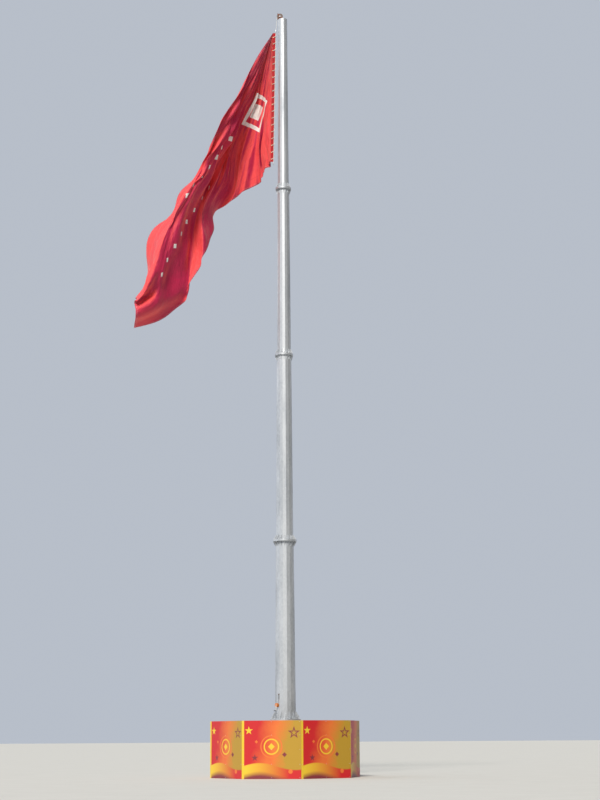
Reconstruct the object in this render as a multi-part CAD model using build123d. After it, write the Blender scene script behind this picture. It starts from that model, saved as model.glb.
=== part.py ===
from build123d import *
import math
import os

# Large flagpole: a sixteen-sided tapered steel mast in four flanged sections on a concrete
# foundation, with a revolving truck and internal halyard, a drooping flag, a hand winch,
# and an octagonal hoarding of printed panels round the foundation.
# Millimetres, +Z up, +X to the right of the front view, +Y away from the viewer.
# The origin is on the mast's axis at ground level, on the underside of the foundation.

# Foundation
foundation_width = 1700
foundation_height = 2350
foundation_chamfer = 60
grout_width = 1380
grout_thickness = 40

# Mast sections: heights of the joint planes and the sizes across the flats
mast_sides = 16
wall_thickness = 10
base_plate_thickness = 60
base_plate_diameter = 1300
base_gusset_height = 300
joint_heights = [10140, 18530, 26370]
mast_top_height = 34700
section_foot_widths = [894, 753, 624, 504]
section_head_widths = [779, 653, 541, 415]

# Flanges at the joints
joint_flange_diameters = [1040, 820, 715]
joint_plate_thickness = 40
joint_gusset_height = 200
gusset_thickness = 12
gusset_edge_margin = 18
gusset_nose = 25

# Cap and revolving truck
cap_thickness = 16
spindle_diameter = 90
spindle_bore = 56
spindle_length = 130
bearing_sleeve_diameter = 130
bearing_sleeve_length = 150
bearing_clearance = 0.05
truck_plate_diameter = 250
truck_plate_thickness = 12
truck_plate_lift = 0.3
cheek_thickness = 10
cheek_edge = 34
cheek_foot_width = 150
cheek_foot_height = 36
sheave_pitch_radius = 128
sheave_rim_depth = 14
sheave_width = 36
sheave_side_clearance = 6
axle_diameter = 30
axle_clearance = 0.05
axle_head_diameter = 48
axle_head_thickness = 10
sheave_lift = 182
sheave_groove_flare = 4
sheave_hole_count = 5
sheave_hole_diameter = 38
sheave_hole_circle = 132
guard_diameter = 16
guard_gap = 12
guard_angles = [128, 232]
guard_end = 8

# Halyard and the flag's hoist
halyard_diameter = 16
rope_seat_gap = 0.3
spindle_rope_end = 40
head_offset = 325
head_drop = 570
tack_offset = 450
hoist_fall = 6520
toggle_diameter = 44
toggle_end_diameter = 26
toggle_length = 120
heading_width = 125
heading_edge_gap = 0.3
lashing_count = 19
lashing_strap_width = 14
lashing_strap_thickness = 5
lashing_slant = 24
lashing_seat_gap = 0.3
lashing_hole_diameter = 24
lashing_eyelet_edge = 26
heading_end_gap = 25

# Flag: the cut's fly, and how its folds fan out from the hoist's upper corner. A fold line is
# (angle from the hoist in the cut, lean away from the hoist, swing towards the viewer) in degrees,
# as it runs within the upper reach and past the lower reach.
flag_fly = 14300
flag_thickness = 14
flag_edge_gap = 0.3
flag_upper_folds = [(0, 0, 0), (22, 11, -8), (38, 16.5, -8), (50, 21, -15.5)]
flag_upper_folds += [(56, 16.5, -11.5), (84, 24.5, 15), (90, 24, 9)]
flag_lower_folds = [(0, 0, 0), (22, 4, -11), (37, 9.7, -5), (48, 18.5, -11)]
flag_lower_folds += [(53, 13.8, -9.5), (73, 21.5, 9), (90, 29, -6)]
flag_fold_round = 5
flag_upper_reach = 3500
flag_lower_reach = 8000
flag_corner_leans = [(0, 0), (58, 0), (66, 3.4), (90, -5)]
flag_corner_length = 4700
flag_stations_along = 37
flag_stations_across = 19

# Winch
winch_azimuth = 45
winch_crank_clearance = 25
winch_plate_width = 150
winch_plate_height = 300
winch_plate_thickness = 12
winch_plate_bedding = 20
weld_sink = 2
drum_standoff = 22
drum_core_diameter = 70
drum_flange_diameter = 170
drum_flange_thickness = 8
drum_width = 64
drum_pin_diameter = 30
drum_pin_clearance = 0.05
drum_pin_end = 14
drum_collar_diameter = 54
drum_collar_gap = 0.3
crank_length = 240
crank_bar_width = 30
crank_bar_thickness = 12
crank_hub_diameter = 50
handle_rod_diameter = 18
handle_rod_end = 8
handle_diameter = 32
handle_length = 130
rope_turns = 3
rope_turn_spacing = 1
winch_rope_diameter = 12
turn_gap = 0.2
rope_rise = 450
rope_turn_inset = 39
rope_end_gap = 0.5
slot_width = 44
slot_below = 70
slot_above = 12
roller_diameter = 56
roller_side_gap = 2
roller_pin_diameter = 14

# Hoarding
hoarding_circumradius = 3267
hoarding_height = 2360
hoarding_turn = 10.5
panel_count = 8
board_thickness = 18
mitre_gap = 0.3
frame_tube = 50
frame_inset = 30
frame_rail_count = 3

os.makedirs("parts", exist_ok=True)


def save(shape, node):
    export_step(shape, f"parts/{node}.step")


def mast_prism(foot, head, foot_radius, head_radius):
    """A tapered prism with one flat towards the viewer, radii measured to the flats."""
    turn = 180 / mast_sides
    low = Plane.XY.offset(foot) * RegularPolygon(foot_radius, mast_sides, major_radius=False, rotation=turn)
    high = Plane.XY.offset(head) * RegularPolygon(head_radius, mast_sides, major_radius=False, rotation=turn)
    return loft([low, high], ruled=True)


def at_azimuth(azimuth, shape):
    """Turns a shape made at the front (towards -Y) to an azimuth, positive to the left."""
    return Rot(0, 0, -azimuth) * shape


# Levels along the mast
grout_top = foundation_height + grout_thickness
base_plate_top = grout_top + base_plate_thickness
section_feet = [base_plate_top] + [h + joint_plate_thickness for h in joint_heights]
section_heads = [h - joint_plate_thickness for h in joint_heights] + [mast_top_height]


def section_solid(i, inset=0.0):
    """Solid tapered prism of a section, as wide as its outside less an inset all round."""
    return mast_prism(
        section_feet[i],
        section_heads[i],
        section_foot_widths[i] / 2 - inset,
        section_head_widths[i] / 2 - inset,
    )


def section_radius(i, height):
    """Half the width across the flats of a section at a height."""
    share = (height - section_feet[i]) / (section_heads[i] - section_feet[i])
    return (section_foot_widths[i] + (section_head_widths[i] - section_foot_widths[i]) * share) / 2


section_count = len(section_foot_widths)
outsides = [section_solid(i) for i in range(section_count)]

# Foundation and grout bed
foundation = extrude(Rectangle(foundation_width, foundation_width), foundation_height)
foundation = Rot(0, 0, -hoarding_turn) * chamfer(
    foundation.edges().group_by(Axis.Z)[-1], foundation_chamfer
)
save(foundation, "foundation_pedestal")

grout = Pos(0, 0, foundation_height) * extrude(
    RegularPolygon(grout_width / 2, mast_sides, major_radius=False), grout_thickness
)
save(grout, "grout_bed")


# Welded flanges: a ring plate with triangular gussets against the tapered wall
def gusset(plate_face, direction, wall_radius, reach, height):
    """One upright triangle from the wall outwards, standing on or hanging from a plate."""
    inner = wall_radius - wall_thickness
    outer = wall_radius + reach
    profile = Plane.XZ * make_face(
        Polyline(
            (inner, 0),
            (outer, 0),
            (outer, direction * gusset_nose),
            (wall_radius + gusset_nose, direction * height),
            (inner, direction * height),
            close=True,
        )
    )
    blade = extrude(profile, gusset_thickness / 2, both=True)
    return Pos(0, 0, plate_face) * blade


def welded_flange(low, high, diameter, bore_radius, gusset_face, direction, section, height):
    """Ring plate between two levels, with a gusset on each flat of the mast section."""
    wall_radius = section_radius(section, gusset_face)
    reach = diameter / 2 - wall_radius - gusset_edge_margin
    plate = Pos(0, 0, low) * extrude(Circle(diameter / 2), high - low)
    bore = Pos(0, 0, low) * extrude(
        RegularPolygon(bore_radius, mast_sides, major_radius=False, rotation=180 / mast_sides),
        high - low,
    )
    blade = gusset(gusset_face, direction, wall_radius, reach, height)
    blades = [Rot(0, 0, k * 360 / mast_sides) * blade for k in range(mast_sides)]
    blades = [b - outsides[section] for b in blades]
    return (plate - bore) + blades


base_flange = welded_flange(
    grout_top,
    base_plate_top,
    base_plate_diameter,
    section_foot_widths[0] / 2 - wall_thickness,
    base_plate_top,
    1,
    0,
    base_gusset_height,
)
save(base_flange, "base_flange")

for j in range(section_count - 1):
    height = joint_heights[j]
    diameter = joint_flange_diameters[j]
    bore = section_foot_widths[j + 1] / 2 - wall_thickness
    lower = welded_flange(
        height - joint_plate_thickness,
        height,
        diameter,
        bore,
        height - joint_plate_thickness,
        -1,
        j,
        joint_gusset_height,
    )
    upper = welded_flange(
        height,
        height + joint_plate_thickness,
        diameter,
        bore,
        height + joint_plate_thickness,
        1,
        j + 1,
        joint_gusset_height,
    )
    save(lower, f"joint_{j + 1}_lower_flange")
    save(upper, f"joint_{j + 1}_upper_flange")

# Mast sections: hollow tapered tubes, the first with the slot where the halyard enters
winch_height = (
    base_plate_top + base_gusset_height + crank_length + crank_bar_width / 2 + winch_crank_clearance
)
rope_turn_height = winch_height + rope_rise
winch_wall = section_radius(0, winch_height)
slot_wall = section_radius(0, rope_turn_height)
rope_line_offset = drum_core_diameter / 2 + 1.5 * winch_rope_diameter + rope_seat_gap + turn_gap
plate_face_radius = winch_wall + winch_plate_thickness
drum_foot = plate_face_radius + drum_standoff
rope_level = drum_foot + drum_flange_thickness + drum_width / 2
rope_crossing = (rope_level - slot_wall + wall_thickness / 2) / (rope_level - slot_wall + rope_turn_inset)
slot_foot = winch_height + (rope_turn_height - winch_height) * rope_crossing - slot_below
slot_head = rope_turn_height + roller_diameter / 2 + slot_above
slot_cutter = at_azimuth(
    winch_azimuth,
    Pos(rope_line_offset, -slot_wall, (slot_foot + slot_head) / 2)
    * Box(slot_width, 6 * wall_thickness, slot_head - slot_foot),
)
for i in range(section_count):
    tube = outsides[i] - section_solid(i, wall_thickness)
    if i == 0:
        tube = tube - slot_cutter
    save(tube, f"mast_section_{i + 1}")

# Cap plate with a bearing sleeve hanging inside the mast
cap_top = mast_top_height + cap_thickness
cap = Pos(0, 0, mast_top_height) * extrude(
    RegularPolygon(section_head_widths[-1] / 2, mast_sides, major_radius=False, rotation=180 / mast_sides),
    cap_thickness,
)
cap = cap + Pos(0, 0, cap_top - bearing_sleeve_length) * extrude(
    Circle(bearing_sleeve_diameter / 2), bearing_sleeve_length
)
cap = cap - Pos(0, 0, cap_top - bearing_sleeve_length) * extrude(
    Circle(spindle_diameter / 2 + bearing_clearance), bearing_sleeve_length
)
save(cap, "mast_cap")

# Revolving truck: plate with a hollow spindle in the sleeve, and two cheeks for the sheave
plate_foot = cap_top + truck_plate_lift
plate_top = plate_foot + truck_plate_thickness
truck = Pos(0, 0, plate_foot) * extrude(Circle(truck_plate_diameter / 2), truck_plate_thickness)
truck = truck + Pos(0, 0, plate_foot - spindle_length) * extrude(Circle(spindle_diameter / 2), spindle_length)
truck = truck - Pos(0, 0, plate_foot - spindle_length) * extrude(
    Circle(spindle_bore / 2), spindle_length + truck_plate_thickness
)
save(truck, "truck_spindle")

sheave_height = mast_top_height + sheave_lift
sheave_centre = Pos(-sheave_pitch_radius, 0, sheave_height)
cheek_gap = sheave_width + 2 * sheave_side_clearance
guard_radius = sheave_pitch_radius + sheave_rim_depth + guard_gap + guard_diameter / 2


def around_sheave(radius, angle):
    """A point in the sheave's plane, at a radius and an angle from +X about its centre."""
    return (
        -sheave_pitch_radius + radius * math.cos(math.radians(angle)),
        sheave_height + radius * math.sin(math.radians(angle)),
    )


arm_tips = [around_sheave(guard_radius, angle) for angle in guard_angles]


def arm(start, end, width):
    """A flat bar with round ends in the sheave's plane."""
    length = math.dist(start, end)
    angle = math.degrees(math.atan2(end[1] - start[1], end[0] - start[0]))
    middle = ((start[0] + end[0]) / 2, (start[1] + end[1]) / 2)
    return Pos(*middle) * Rot(0, 0, angle) * SlotCenterToCenter(length, width)


centre_2d = (-sheave_pitch_radius, sheave_height)
cheek_outline = arm(centre_2d, (0, plate_top + cheek_foot_height), cheek_edge)
cheek_outline = cheek_outline + Pos(0, plate_top + cheek_foot_height / 2) * Rectangle(
    cheek_foot_width, cheek_foot_height
)
for tip in arm_tips:
    cheek_outline = cheek_outline + arm(centre_2d, tip, cheek_edge)
for tip in arm_tips:
    cheek_outline = cheek_outline - Pos(*tip) * Circle(guard_diameter / 2 + axle_clearance)
cheek_outline = cheek_outline - Pos(*centre_2d) * Circle(axle_diameter / 2 + axle_clearance)
cheek_face = Plane.XZ * cheek_outline
front_cheek = Pos(0, -cheek_gap / 2, 0) * extrude(cheek_face, cheek_thickness)
back_cheek = mirror(front_cheek, Plane.XZ)
save(front_cheek, "truck_cheek_front")
save(back_cheek, "truck_cheek_back")

# Sheave, its axle and the two rope guards
rim_radius = sheave_pitch_radius + sheave_rim_depth
groove_radius = halyard_diameter / 2 + rope_seat_gap
bore_radius = axle_diameter / 2 + axle_clearance
half_sheave = sheave_width / 2
groove_half = groove_radius + sheave_groove_flare
sheave_profile = make_face(
    Polyline(
        (bore_radius, -half_sheave),
        (rim_radius, -half_sheave),
        (rim_radius, half_sheave),
        (bore_radius, half_sheave),
        close=True,
    )
)
groove = make_face(
    Polyline(
        (sheave_pitch_radius, -groove_radius),
        (rim_radius, -groove_half),
        (rim_radius, groove_half),
        (sheave_pitch_radius, groove_radius),
        close=True,
    )
)
sheave_profile = sheave_profile - groove - Pos(sheave_pitch_radius, 0) * Circle(groove_radius)
sheave_body = revolve(Plane.XY * sheave_profile, Axis.Y)
web_hole = Rot(90, 0, 0) * Cylinder(sheave_hole_diameter / 2, sheave_width)
for k in range(sheave_hole_count):
    hole = Pos(0, 0, sheave_hole_circle / 2) * web_hole
    sheave_body = sheave_body - Rot(0, 360 * k / sheave_hole_count, 0) * hole
save(sheave_centre * sheave_body, "sheave")

axle_length = cheek_gap + 2 * cheek_thickness
axle = Rot(90, 0, 0) * Cylinder(axle_diameter / 2, axle_length)
for side in (-1, 1):
    axle = axle + Pos(0, side * (axle_length / 2 + axle_head_thickness / 2), 0) * Rot(90, 0, 0) * Cylinder(
        axle_head_diameter / 2, axle_head_thickness
    )
save(sheave_centre * axle, "sheave_axle")

guard_bar = Rot(90, 0, 0) * Cylinder(guard_diameter / 2, axle_length + 2 * guard_end)
save(Compound([Pos(x, 0, z) * guard_bar for x, z in arm_tips]), "rope_guards")


# Halyard over the sheave
def round_bar(start, end, diameter):
    """A straight round bar between two points."""
    path = Line(start, end)
    return sweep(Plane(origin=path @ 0, z_dir=path % 0) * Circle(diameter / 2), path=path)


head_point = Vector(-head_offset, 0, mast_top_height - head_drop)
tack_point = Vector(-tack_offset, 0, mast_top_height - head_drop - hoist_fall)
hoist_direction = (tack_point - head_point).normalized()
to_head = head_point - Vector(-sheave_pitch_radius, 0, sheave_height)
head_distance = to_head.length
head_angle = math.degrees(math.atan2(to_head.Z, to_head.X)) % 360
tangent_angle = head_angle - math.degrees(math.acos(sheave_pitch_radius / head_distance))
inner_top = Vector(0, 0, sheave_height)
inner_foot = Vector(0, 0, plate_foot - spindle_length - spindle_rope_end)
leave_x, leave_z = around_sheave(sheave_pitch_radius, tangent_angle)
over_x, over_z = around_sheave(sheave_pitch_radius, tangent_angle / 2)
leave_point = Vector(leave_x, 0, leave_z)
fall_direction = (head_point - leave_point).normalized()
fall_end = head_point - fall_direction * (toggle_length / 2)
halyard_path = (
    Line(inner_foot, inner_top)
    + ThreePointArc(inner_top, Vector(over_x, 0, over_z), leave_point)
    + Line(leave_point, fall_end)
)
halyard = sweep(Pos(*inner_foot) * Circle(halyard_diameter / 2), path=halyard_path)
save(halyard, "halyard_over_truck")


# Toggles at the head and the tack, and the hoist line between them
hoist_length = (tack_point - head_point).length
left_direction = Vector(hoist_direction.Z, 0, -hoist_direction.X)


def hoist_place(distance, left=0.0):
    """A point in the plane of the hoist: down along the hoist line, and out to the flag's side."""
    return head_point + hoist_direction * distance + left_direction * left


def toggle(middle, direction):
    """A turned barrel-shaped fitting, centred on the rope."""
    end = toggle_end_diameter / 2
    half = toggle_length / 2
    outline = Polyline((end, -half), (0, -half), (0, half), (end, half))
    bulge = ThreePointArc((end, half), (toggle_diameter / 2, 0), (end, -half))
    profile = Plane.XZ * make_face(outline + bulge)
    return Plane(origin=middle, z_dir=direction) * revolve(profile, Axis.Z)


head_toggle = toggle(head_point, fall_direction)
save(head_toggle, "head_toggle")
save(toggle(tack_point, hoist_direction), "tack_toggle")
hoist_line = round_bar(
    hoist_place(toggle_length / 2), hoist_place(hoist_length - toggle_length / 2), halyard_diameter
)
save(hoist_line - head_toggle, "hoist_line")

# Heading band along the flag's hoist, beside the line, with an eyelet for each lashing
heading_start = toggle_length / 2 + heading_end_gap
heading_end = hoist_length - heading_start
heading_near = halyard_diameter / 2 + heading_edge_gap
heading_far = heading_near + heading_width


def plane_point(distance, left):
    """The same place as a pair for sketches in the XZ plane."""
    place = hoist_place(distance, left)
    return (place.X, place.Z)


heading_face = Plane.XZ * make_face(
    Polyline(
        plane_point(heading_start, heading_near),
        plane_point(heading_start, heading_far),
        plane_point(heading_end, heading_far),
        plane_point(heading_end, heading_near),
        close=True,
    )
)
heading = extrude(heading_face, halyard_diameter / 2, both=True)
slant = math.radians(lashing_slant)
strap_inner = halyard_diameter / 2 + lashing_seat_gap
strap_outer = strap_inner + lashing_strap_thickness
rope_side = lashing_strap_width / 2 * math.tan(slant) + halyard_diameter / 2 * (1 / math.cos(slant) - 1)
eyelet_left = heading_far - lashing_eyelet_edge
strap_span = (eyelet_left - strap_inner / 2) / math.cos(slant) + rope_side
strap_middle_left = (eyelet_left - strap_inner / 2 - rope_side * math.cos(slant)) / 2
eyelet_drop = (eyelet_left - strap_middle_left) * math.tan(slant)
strap_direction = left_direction * math.cos(slant) + hoist_direction * math.sin(slant)
lashing_pitch = (heading_end - heading_start) / lashing_count
lashings = []
for k in range(lashing_count):
    level = heading_start + lashing_pitch * (k + 0.5)
    strap_plane = Plane(
        origin=hoist_place(level, strap_middle_left),
        x_dir=strap_direction,
        z_dir=strap_direction.cross(Vector(0, 1, 0)),
    )
    ring = SlotCenterToCenter(strap_span, 2 * strap_outer) - SlotCenterToCenter(strap_span, 2 * strap_inner)
    lashings.append(extrude(strap_plane * ring, lashing_strap_width / 2, both=True))
    eyelet = hoist_place(level + eyelet_drop, eyelet_left)
    heading = heading - Pos(eyelet.X, 0, eyelet.Z) * Rot(90, 0, 0) * Cylinder(
        lashing_hole_diameter / 2, 3 * halyard_diameter
    )
save(heading, "flag_heading")
save(Compound(lashings), "flag_lashings")


# Flag: one sheet that hangs from its upper corner in long folds
flag_corner = hoist_place(heading_start, heading_far + flag_edge_gap)
flag_hoist = heading_end - heading_start
flag_diagonal = math.hypot(flag_hoist, flag_fly)


def in_line(low, high, share):
    """Each value in line between two rows, at a share from the first to the second."""
    return [a + (b - a) * share for a, b in zip(low, high)]


def between(rows, angle):
    """The row at an angle, in line between the rows of a table that starts with angles."""
    for low, high in zip(rows, rows[1:]):
        if angle <= high[0]:
            return in_line(low, high, (angle - low[0]) / (high[0] - low[0]))
    return rows[-1]


def flag_point(along, down):
    """A point of the sheet, for distances in the cut from the hoist and from the upper edge."""
    reach = math.hypot(along, down)
    angle = math.degrees(math.atan2(along, down))
    share = (reach - flag_upper_reach) / (flag_lower_reach - flag_upper_reach)
    share = min(1, max(0, share))
    folds = [in_line(u, l, share**2 * (3 - 2 * share)) for u, l in zip(flag_upper_folds, flag_lower_folds)]
    turn = min(flag_fold_round, angle, 90 - angle)
    around = [between(folds, angle + side * turn) for side in (-1, 0, 1)]
    lean, swing = (sum(row[j] for row in around) / 3 for j in (1, 2))
    corner_share = max(0, 1 - (flag_diagonal - reach) / flag_corner_length)
    lean = math.radians(lean + between(flag_corner_leans, angle)[1] * corner_share**1.5)
    swing = math.radians(swing)
    fall = hoist_direction * math.cos(lean) + left_direction * math.sin(lean)
    return flag_corner + (fall * math.cos(swing) - Vector(0, math.sin(swing), 0)) * reach


sheet = [
    [
        flag_point(flag_fly * i / (flag_stations_along - 1), flag_hoist * k / (flag_stations_across - 1))
        for k in range(flag_stations_across)
    ]
    for i in range(flag_stations_along)
]


def sheet_normal(i, k):
    """Unit normal at a station, and square to the heading along the hoist."""
    rows = sheet[max(i - 1, 0)], sheet[min(i + 1, flag_stations_along - 1)]
    left, right = max(k - 1, 0), min(k + 1, flag_stations_across - 1)
    normal = (rows[1][k] - rows[0][k]).cross(sheet[i][right] - sheet[i][left]).normalized()
    return normal if i else Vector(0, math.copysign(1, normal.Y), 0)


def sheet_side(offset):
    """Rows of points on one face of the sheet, at an offset from its middle."""
    return [
        [point + sheet_normal(i, k) * offset for k, point in enumerate(row)] for i, row in enumerate(sheet)
    ]


def strip(near, far):
    """Two triangles for each step between two rows of points."""
    faces = []
    for k in range(len(near) - 1):
        faces.append(Face(Wire.make_polygon([near[k], near[k + 1], far[k]])))
        faces.append(Face(Wire.make_polygon([near[k + 1], far[k + 1], far[k]])))
    return faces


front_side = sheet_side(flag_thickness / 2)
rear_side = sheet_side(-flag_thickness / 2)
cloth_faces = []
for rows in (front_side, rear_side):
    for near, far in zip(rows, rows[1:]):
        cloth_faces += strip(near, far)
for near, far in (
    (front_side[0], rear_side[0]),
    (front_side[-1], rear_side[-1]),
    ([row[0] for row in front_side], [row[0] for row in rear_side]),
    ([row[-1] for row in front_side], [row[-1] for row in rear_side]),
):
    cloth_faces += strip(near, far)
save(Solid(Shell(cloth_faces)), "flag")

# Winch on the mast's left front: plate with a pin, drum, crank and the rope up to the slot
plate_depth = winch_plate_thickness + winch_plate_bedding
plate_block = Pos(0, -(plate_face_radius - plate_depth / 2), winch_height) * Box(
    winch_plate_width, plate_depth, winch_plate_height
)
plate = plate_block - Rot(0, 0, winch_azimuth) * outsides[0]
drum_outer = drum_foot + drum_width + 2 * drum_flange_thickness
pin_length = drum_outer - plate_face_radius + crank_bar_thickness + drum_pin_end


def radial_cylinder(radius, start, length, offset=0.0, height=winch_height):
    """A round bar that stands out from the mast's front, from one distance for a length."""
    return Pos(offset, -(start + length / 2), height) * Rot(90, 0, 0) * Cylinder(radius, length)


pin = radial_cylinder(drum_pin_diameter / 2, plate_face_radius - weld_sink, pin_length + weld_sink)
collar = radial_cylinder(
    drum_collar_diameter / 2, plate_face_radius - weld_sink, drum_standoff + weld_sink - drum_collar_gap
)
bracket = plate + pin + collar
save(at_azimuth(winch_azimuth, bracket), "winch_bracket")

pin_hole = radial_cylinder(drum_pin_diameter / 2 + drum_pin_clearance, plate_face_radius, pin_length)
drum = radial_cylinder(drum_flange_diameter / 2, drum_foot, drum_flange_thickness)
drum = drum + radial_cylinder(drum_core_diameter / 2, drum_foot, drum_outer - drum_foot)
drum = drum + radial_cylinder(
    drum_flange_diameter / 2, drum_foot + drum_flange_thickness + drum_width, drum_flange_thickness
)
drum = drum - pin_hole
save(at_azimuth(winch_azimuth, drum), "winch_drum")

crank_face = Rot(0, 0, 90) * SlotCenterToCenter(crank_length, crank_bar_width)
crank_bar = Rot(90, 0, 0) * extrude(crank_face, crank_bar_thickness / 2, both=True)
crank = Pos(0, -(drum_outer + crank_bar_thickness / 2), winch_height - crank_length / 2) * crank_bar
crank = crank + radial_cylinder(crank_hub_diameter / 2, drum_outer, crank_bar_thickness)
crank = crank - pin_hole
handle_height = winch_height - crank_length
handle_start = drum_outer + crank_bar_thickness
rod_length = handle_length + weld_sink + handle_rod_end
handle_rod = radial_cylinder(
    handle_rod_diameter / 2, handle_start - weld_sink, rod_length, height=handle_height
)
crank = crank + handle_rod
save(at_azimuth(winch_azimuth, crank), "winch_crank")
grip = radial_cylinder(handle_diameter / 2, handle_start, handle_length, height=handle_height)
grip = grip - handle_rod
save(at_azimuth(winch_azimuth, grip), "winch_grip")

# Rope on the drum, and its run up through the slot to the truck
turn_pitch = winch_rope_diameter + rope_turn_spacing
turns = []
turns_start = drum_foot + drum_flange_thickness + drum_width / 2 - turn_pitch * rope_turns / 2
for k in range(rope_turns):
    centre = turns_start + turn_pitch * (k + 0.5)
    ring = radial_cylinder(
        drum_core_diameter / 2 + winch_rope_diameter, centre - winch_rope_diameter / 2, winch_rope_diameter
    )
    ring = ring - radial_cylinder(drum_core_diameter / 2 + turn_gap, centre - turn_pitch, 2 * turn_pitch)
    turns.append(at_azimuth(winch_azimuth, ring))
save(Compound(turns), "winch_rope_turns")
rope_start = Vector(rope_line_offset, -rope_level, winch_height)
rope_turn = Vector(rope_line_offset, -(slot_wall - rope_turn_inset), rope_turn_height)
rope_top = Vector(0, 0, inner_foot.Z - rope_end_gap)
rope_low = round_bar(rope_start, rope_turn, winch_rope_diameter)
rope_high = round_bar(rope_turn, rope_top, winch_rope_diameter)
save(at_azimuth(winch_azimuth, rope_low + rope_high), "halyard_fall")

# Fairlead: two cheeks in the slot, with the roller that the rope bends over
roller_radius = roller_diameter / 2
lean = math.atan((rope_level - slot_wall + rope_turn_inset) / (rope_turn_height - winch_height))
roller_rope_distance = winch_rope_diameter / 2 + rope_seat_gap + roller_radius
roller_place = slot_wall - rope_turn_inset + roller_rope_distance / math.cos(lean)
roller_length = slot_width - 2 * roller_side_gap
roller_shape = Rot(0, 90, 0) * Cylinder(roller_radius, roller_length)
roller_pin = Rot(0, 90, 0) * Cylinder(roller_pin_diameter / 2, slot_width)
roller = Pos(rope_line_offset, -roller_place, rope_turn_height) * (roller_shape + roller_pin)
save(at_azimuth(winch_azimuth, roller), "fairlead_roller")

# Hoarding: eight boards mitred at the corners, each with a steel frame on its back
hoarding_apothem = hoarding_circumradius * math.cos(math.pi / panel_count)
corner_half = math.tan(math.pi / panel_count)
names = ["front", "front_left", "left", "back_left", "back", "back_right", "right", "front_right"]
outer_half = hoarding_apothem * corner_half - mitre_gap
inner_half = (hoarding_apothem - board_thickness) * corner_half - mitre_gap
board_plan = make_face(
    Polyline(
        (-outer_half, -hoarding_apothem),
        (outer_half, -hoarding_apothem),
        (inner_half, -hoarding_apothem + board_thickness),
        (-inner_half, -hoarding_apothem + board_thickness),
        close=True,
    )
)
board = extrude(board_plan, hoarding_height)
for k in range(panel_count):
    panel = Rot(0, 0, -hoarding_turn - k * 360 / panel_count) * board
    save(panel, f"hoarding_panel_{names[k]}")

frame_outer = hoarding_apothem - board_thickness
frame_half = (frame_outer - frame_tube) * corner_half - frame_inset
frame_face = Rectangle(2 * frame_half, hoarding_height, align=(Align.CENTER, Align.MIN))
bay = (hoarding_height - frame_tube * frame_rail_count) / (frame_rail_count - 1)
for k in range(frame_rail_count - 1):
    opening = Rectangle(2 * frame_half - 2 * frame_tube, bay, align=(Align.CENTER, Align.MIN))
    frame_face = frame_face - Pos(0, frame_tube + k * (bay + frame_tube)) * opening
frame = Pos(0, -frame_outer + frame_tube, 0) * extrude(Plane.XZ * frame_face, frame_tube)
frames = [Rot(0, 0, -hoarding_turn - k * 360 / panel_count) * frame for k in range(panel_count)]
save(Compound(frames), "hoarding_frames")
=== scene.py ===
import math

import bpy
import numpy as np
from bpy.props import FloatProperty, FloatVectorProperty, IntProperty, PointerProperty
from mathutils import Matrix, Vector, noise


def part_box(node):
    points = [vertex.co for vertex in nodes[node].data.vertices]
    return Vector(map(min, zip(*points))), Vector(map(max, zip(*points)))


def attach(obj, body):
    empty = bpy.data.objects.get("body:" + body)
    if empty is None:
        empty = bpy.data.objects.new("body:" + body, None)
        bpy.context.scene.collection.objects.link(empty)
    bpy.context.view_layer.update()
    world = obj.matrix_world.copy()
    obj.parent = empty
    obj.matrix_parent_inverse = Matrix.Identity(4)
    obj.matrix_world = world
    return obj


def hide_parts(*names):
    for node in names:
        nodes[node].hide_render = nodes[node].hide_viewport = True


bl_info = {
    "name": "Flanged steel flagpole",
    "version": (1, 0, 0),
    "blender": (4, 5, 0),
    "location": "3D View > Sidebar > Flagpole",
    "description": "Dresses a sectional steel flagpole with its flag, ropes, bolts, welds and hoarding",
    "category": "Object",
}

# The frame, the box that it fixes, and the unit
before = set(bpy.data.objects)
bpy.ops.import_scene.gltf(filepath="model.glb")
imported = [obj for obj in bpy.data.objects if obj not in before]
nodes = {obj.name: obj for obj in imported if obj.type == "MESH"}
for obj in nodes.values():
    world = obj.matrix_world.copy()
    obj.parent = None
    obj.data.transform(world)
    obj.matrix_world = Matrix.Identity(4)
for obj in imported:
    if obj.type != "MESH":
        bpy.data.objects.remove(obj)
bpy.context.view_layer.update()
MM = 0.001


def linear(code):
    """An sRGB hex code as the linear red, green and blue that shaders use."""
    shades = [int(code[i:i + 2], 16) / 255 for i in (1, 3, 5)]
    return [s / 12.92 if s <= 0.04045 else ((s + 0.055) / 1.055) ** 2.4 for s in shades]


def colour(code, label, about):
    """A colour that a user may change, given as sRGB hex."""
    return FloatVectorProperty(
        name=label, description=about, default=linear(code), size=3, subtype="COLOR", min=0, max=1
    )


def length(metres, label, about):
    """A length that a user may change."""
    return FloatProperty(name=label, description=about, default=metres, unit="LENGTH", min=0)


def strength(value, label, about):
    """A light's strength that a user may change."""
    return FloatProperty(name=label, description=about, default=value, min=0)


# Settings, one group for each operator that has any
class StageSettings(bpy.types.PropertyGroup):
    floor_colour: colour("#CFCDC7", "Floor", "Pale studio floor")
    backdrop_colour: colour("#BCC3CE", "Backdrop", "Pale even backdrop all round")
    key_strength: strength(3.5, "Key light", "Strength of the main light")
    fill_strength: strength(0.35, "Fill light", "Strength of the light from behind")


class SteelSettings(bpy.types.PropertyGroup):
    zinc_light: colour("#D3D6DA", "Zinc", "Bright crystals of the zinc")
    zinc_dull: colour("#A0A5AC", "Dull zinc", "Dull bloom on the zinc")
    bead_width: length(14 * MM, "Weld bead", "Width of a weld bead round the mast")
    base_stud: length(36 * MM, "Anchor stud", "Diameter of the anchor studs in the base plate")
    joint_bolt: length(27 * MM, "Joint bolt", "Diameter of the bolts in the mast's joints")
    bolts_per_ring: IntProperty(name="Bolts per ring", description="Bolts in each plate", default=16, min=4)


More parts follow.
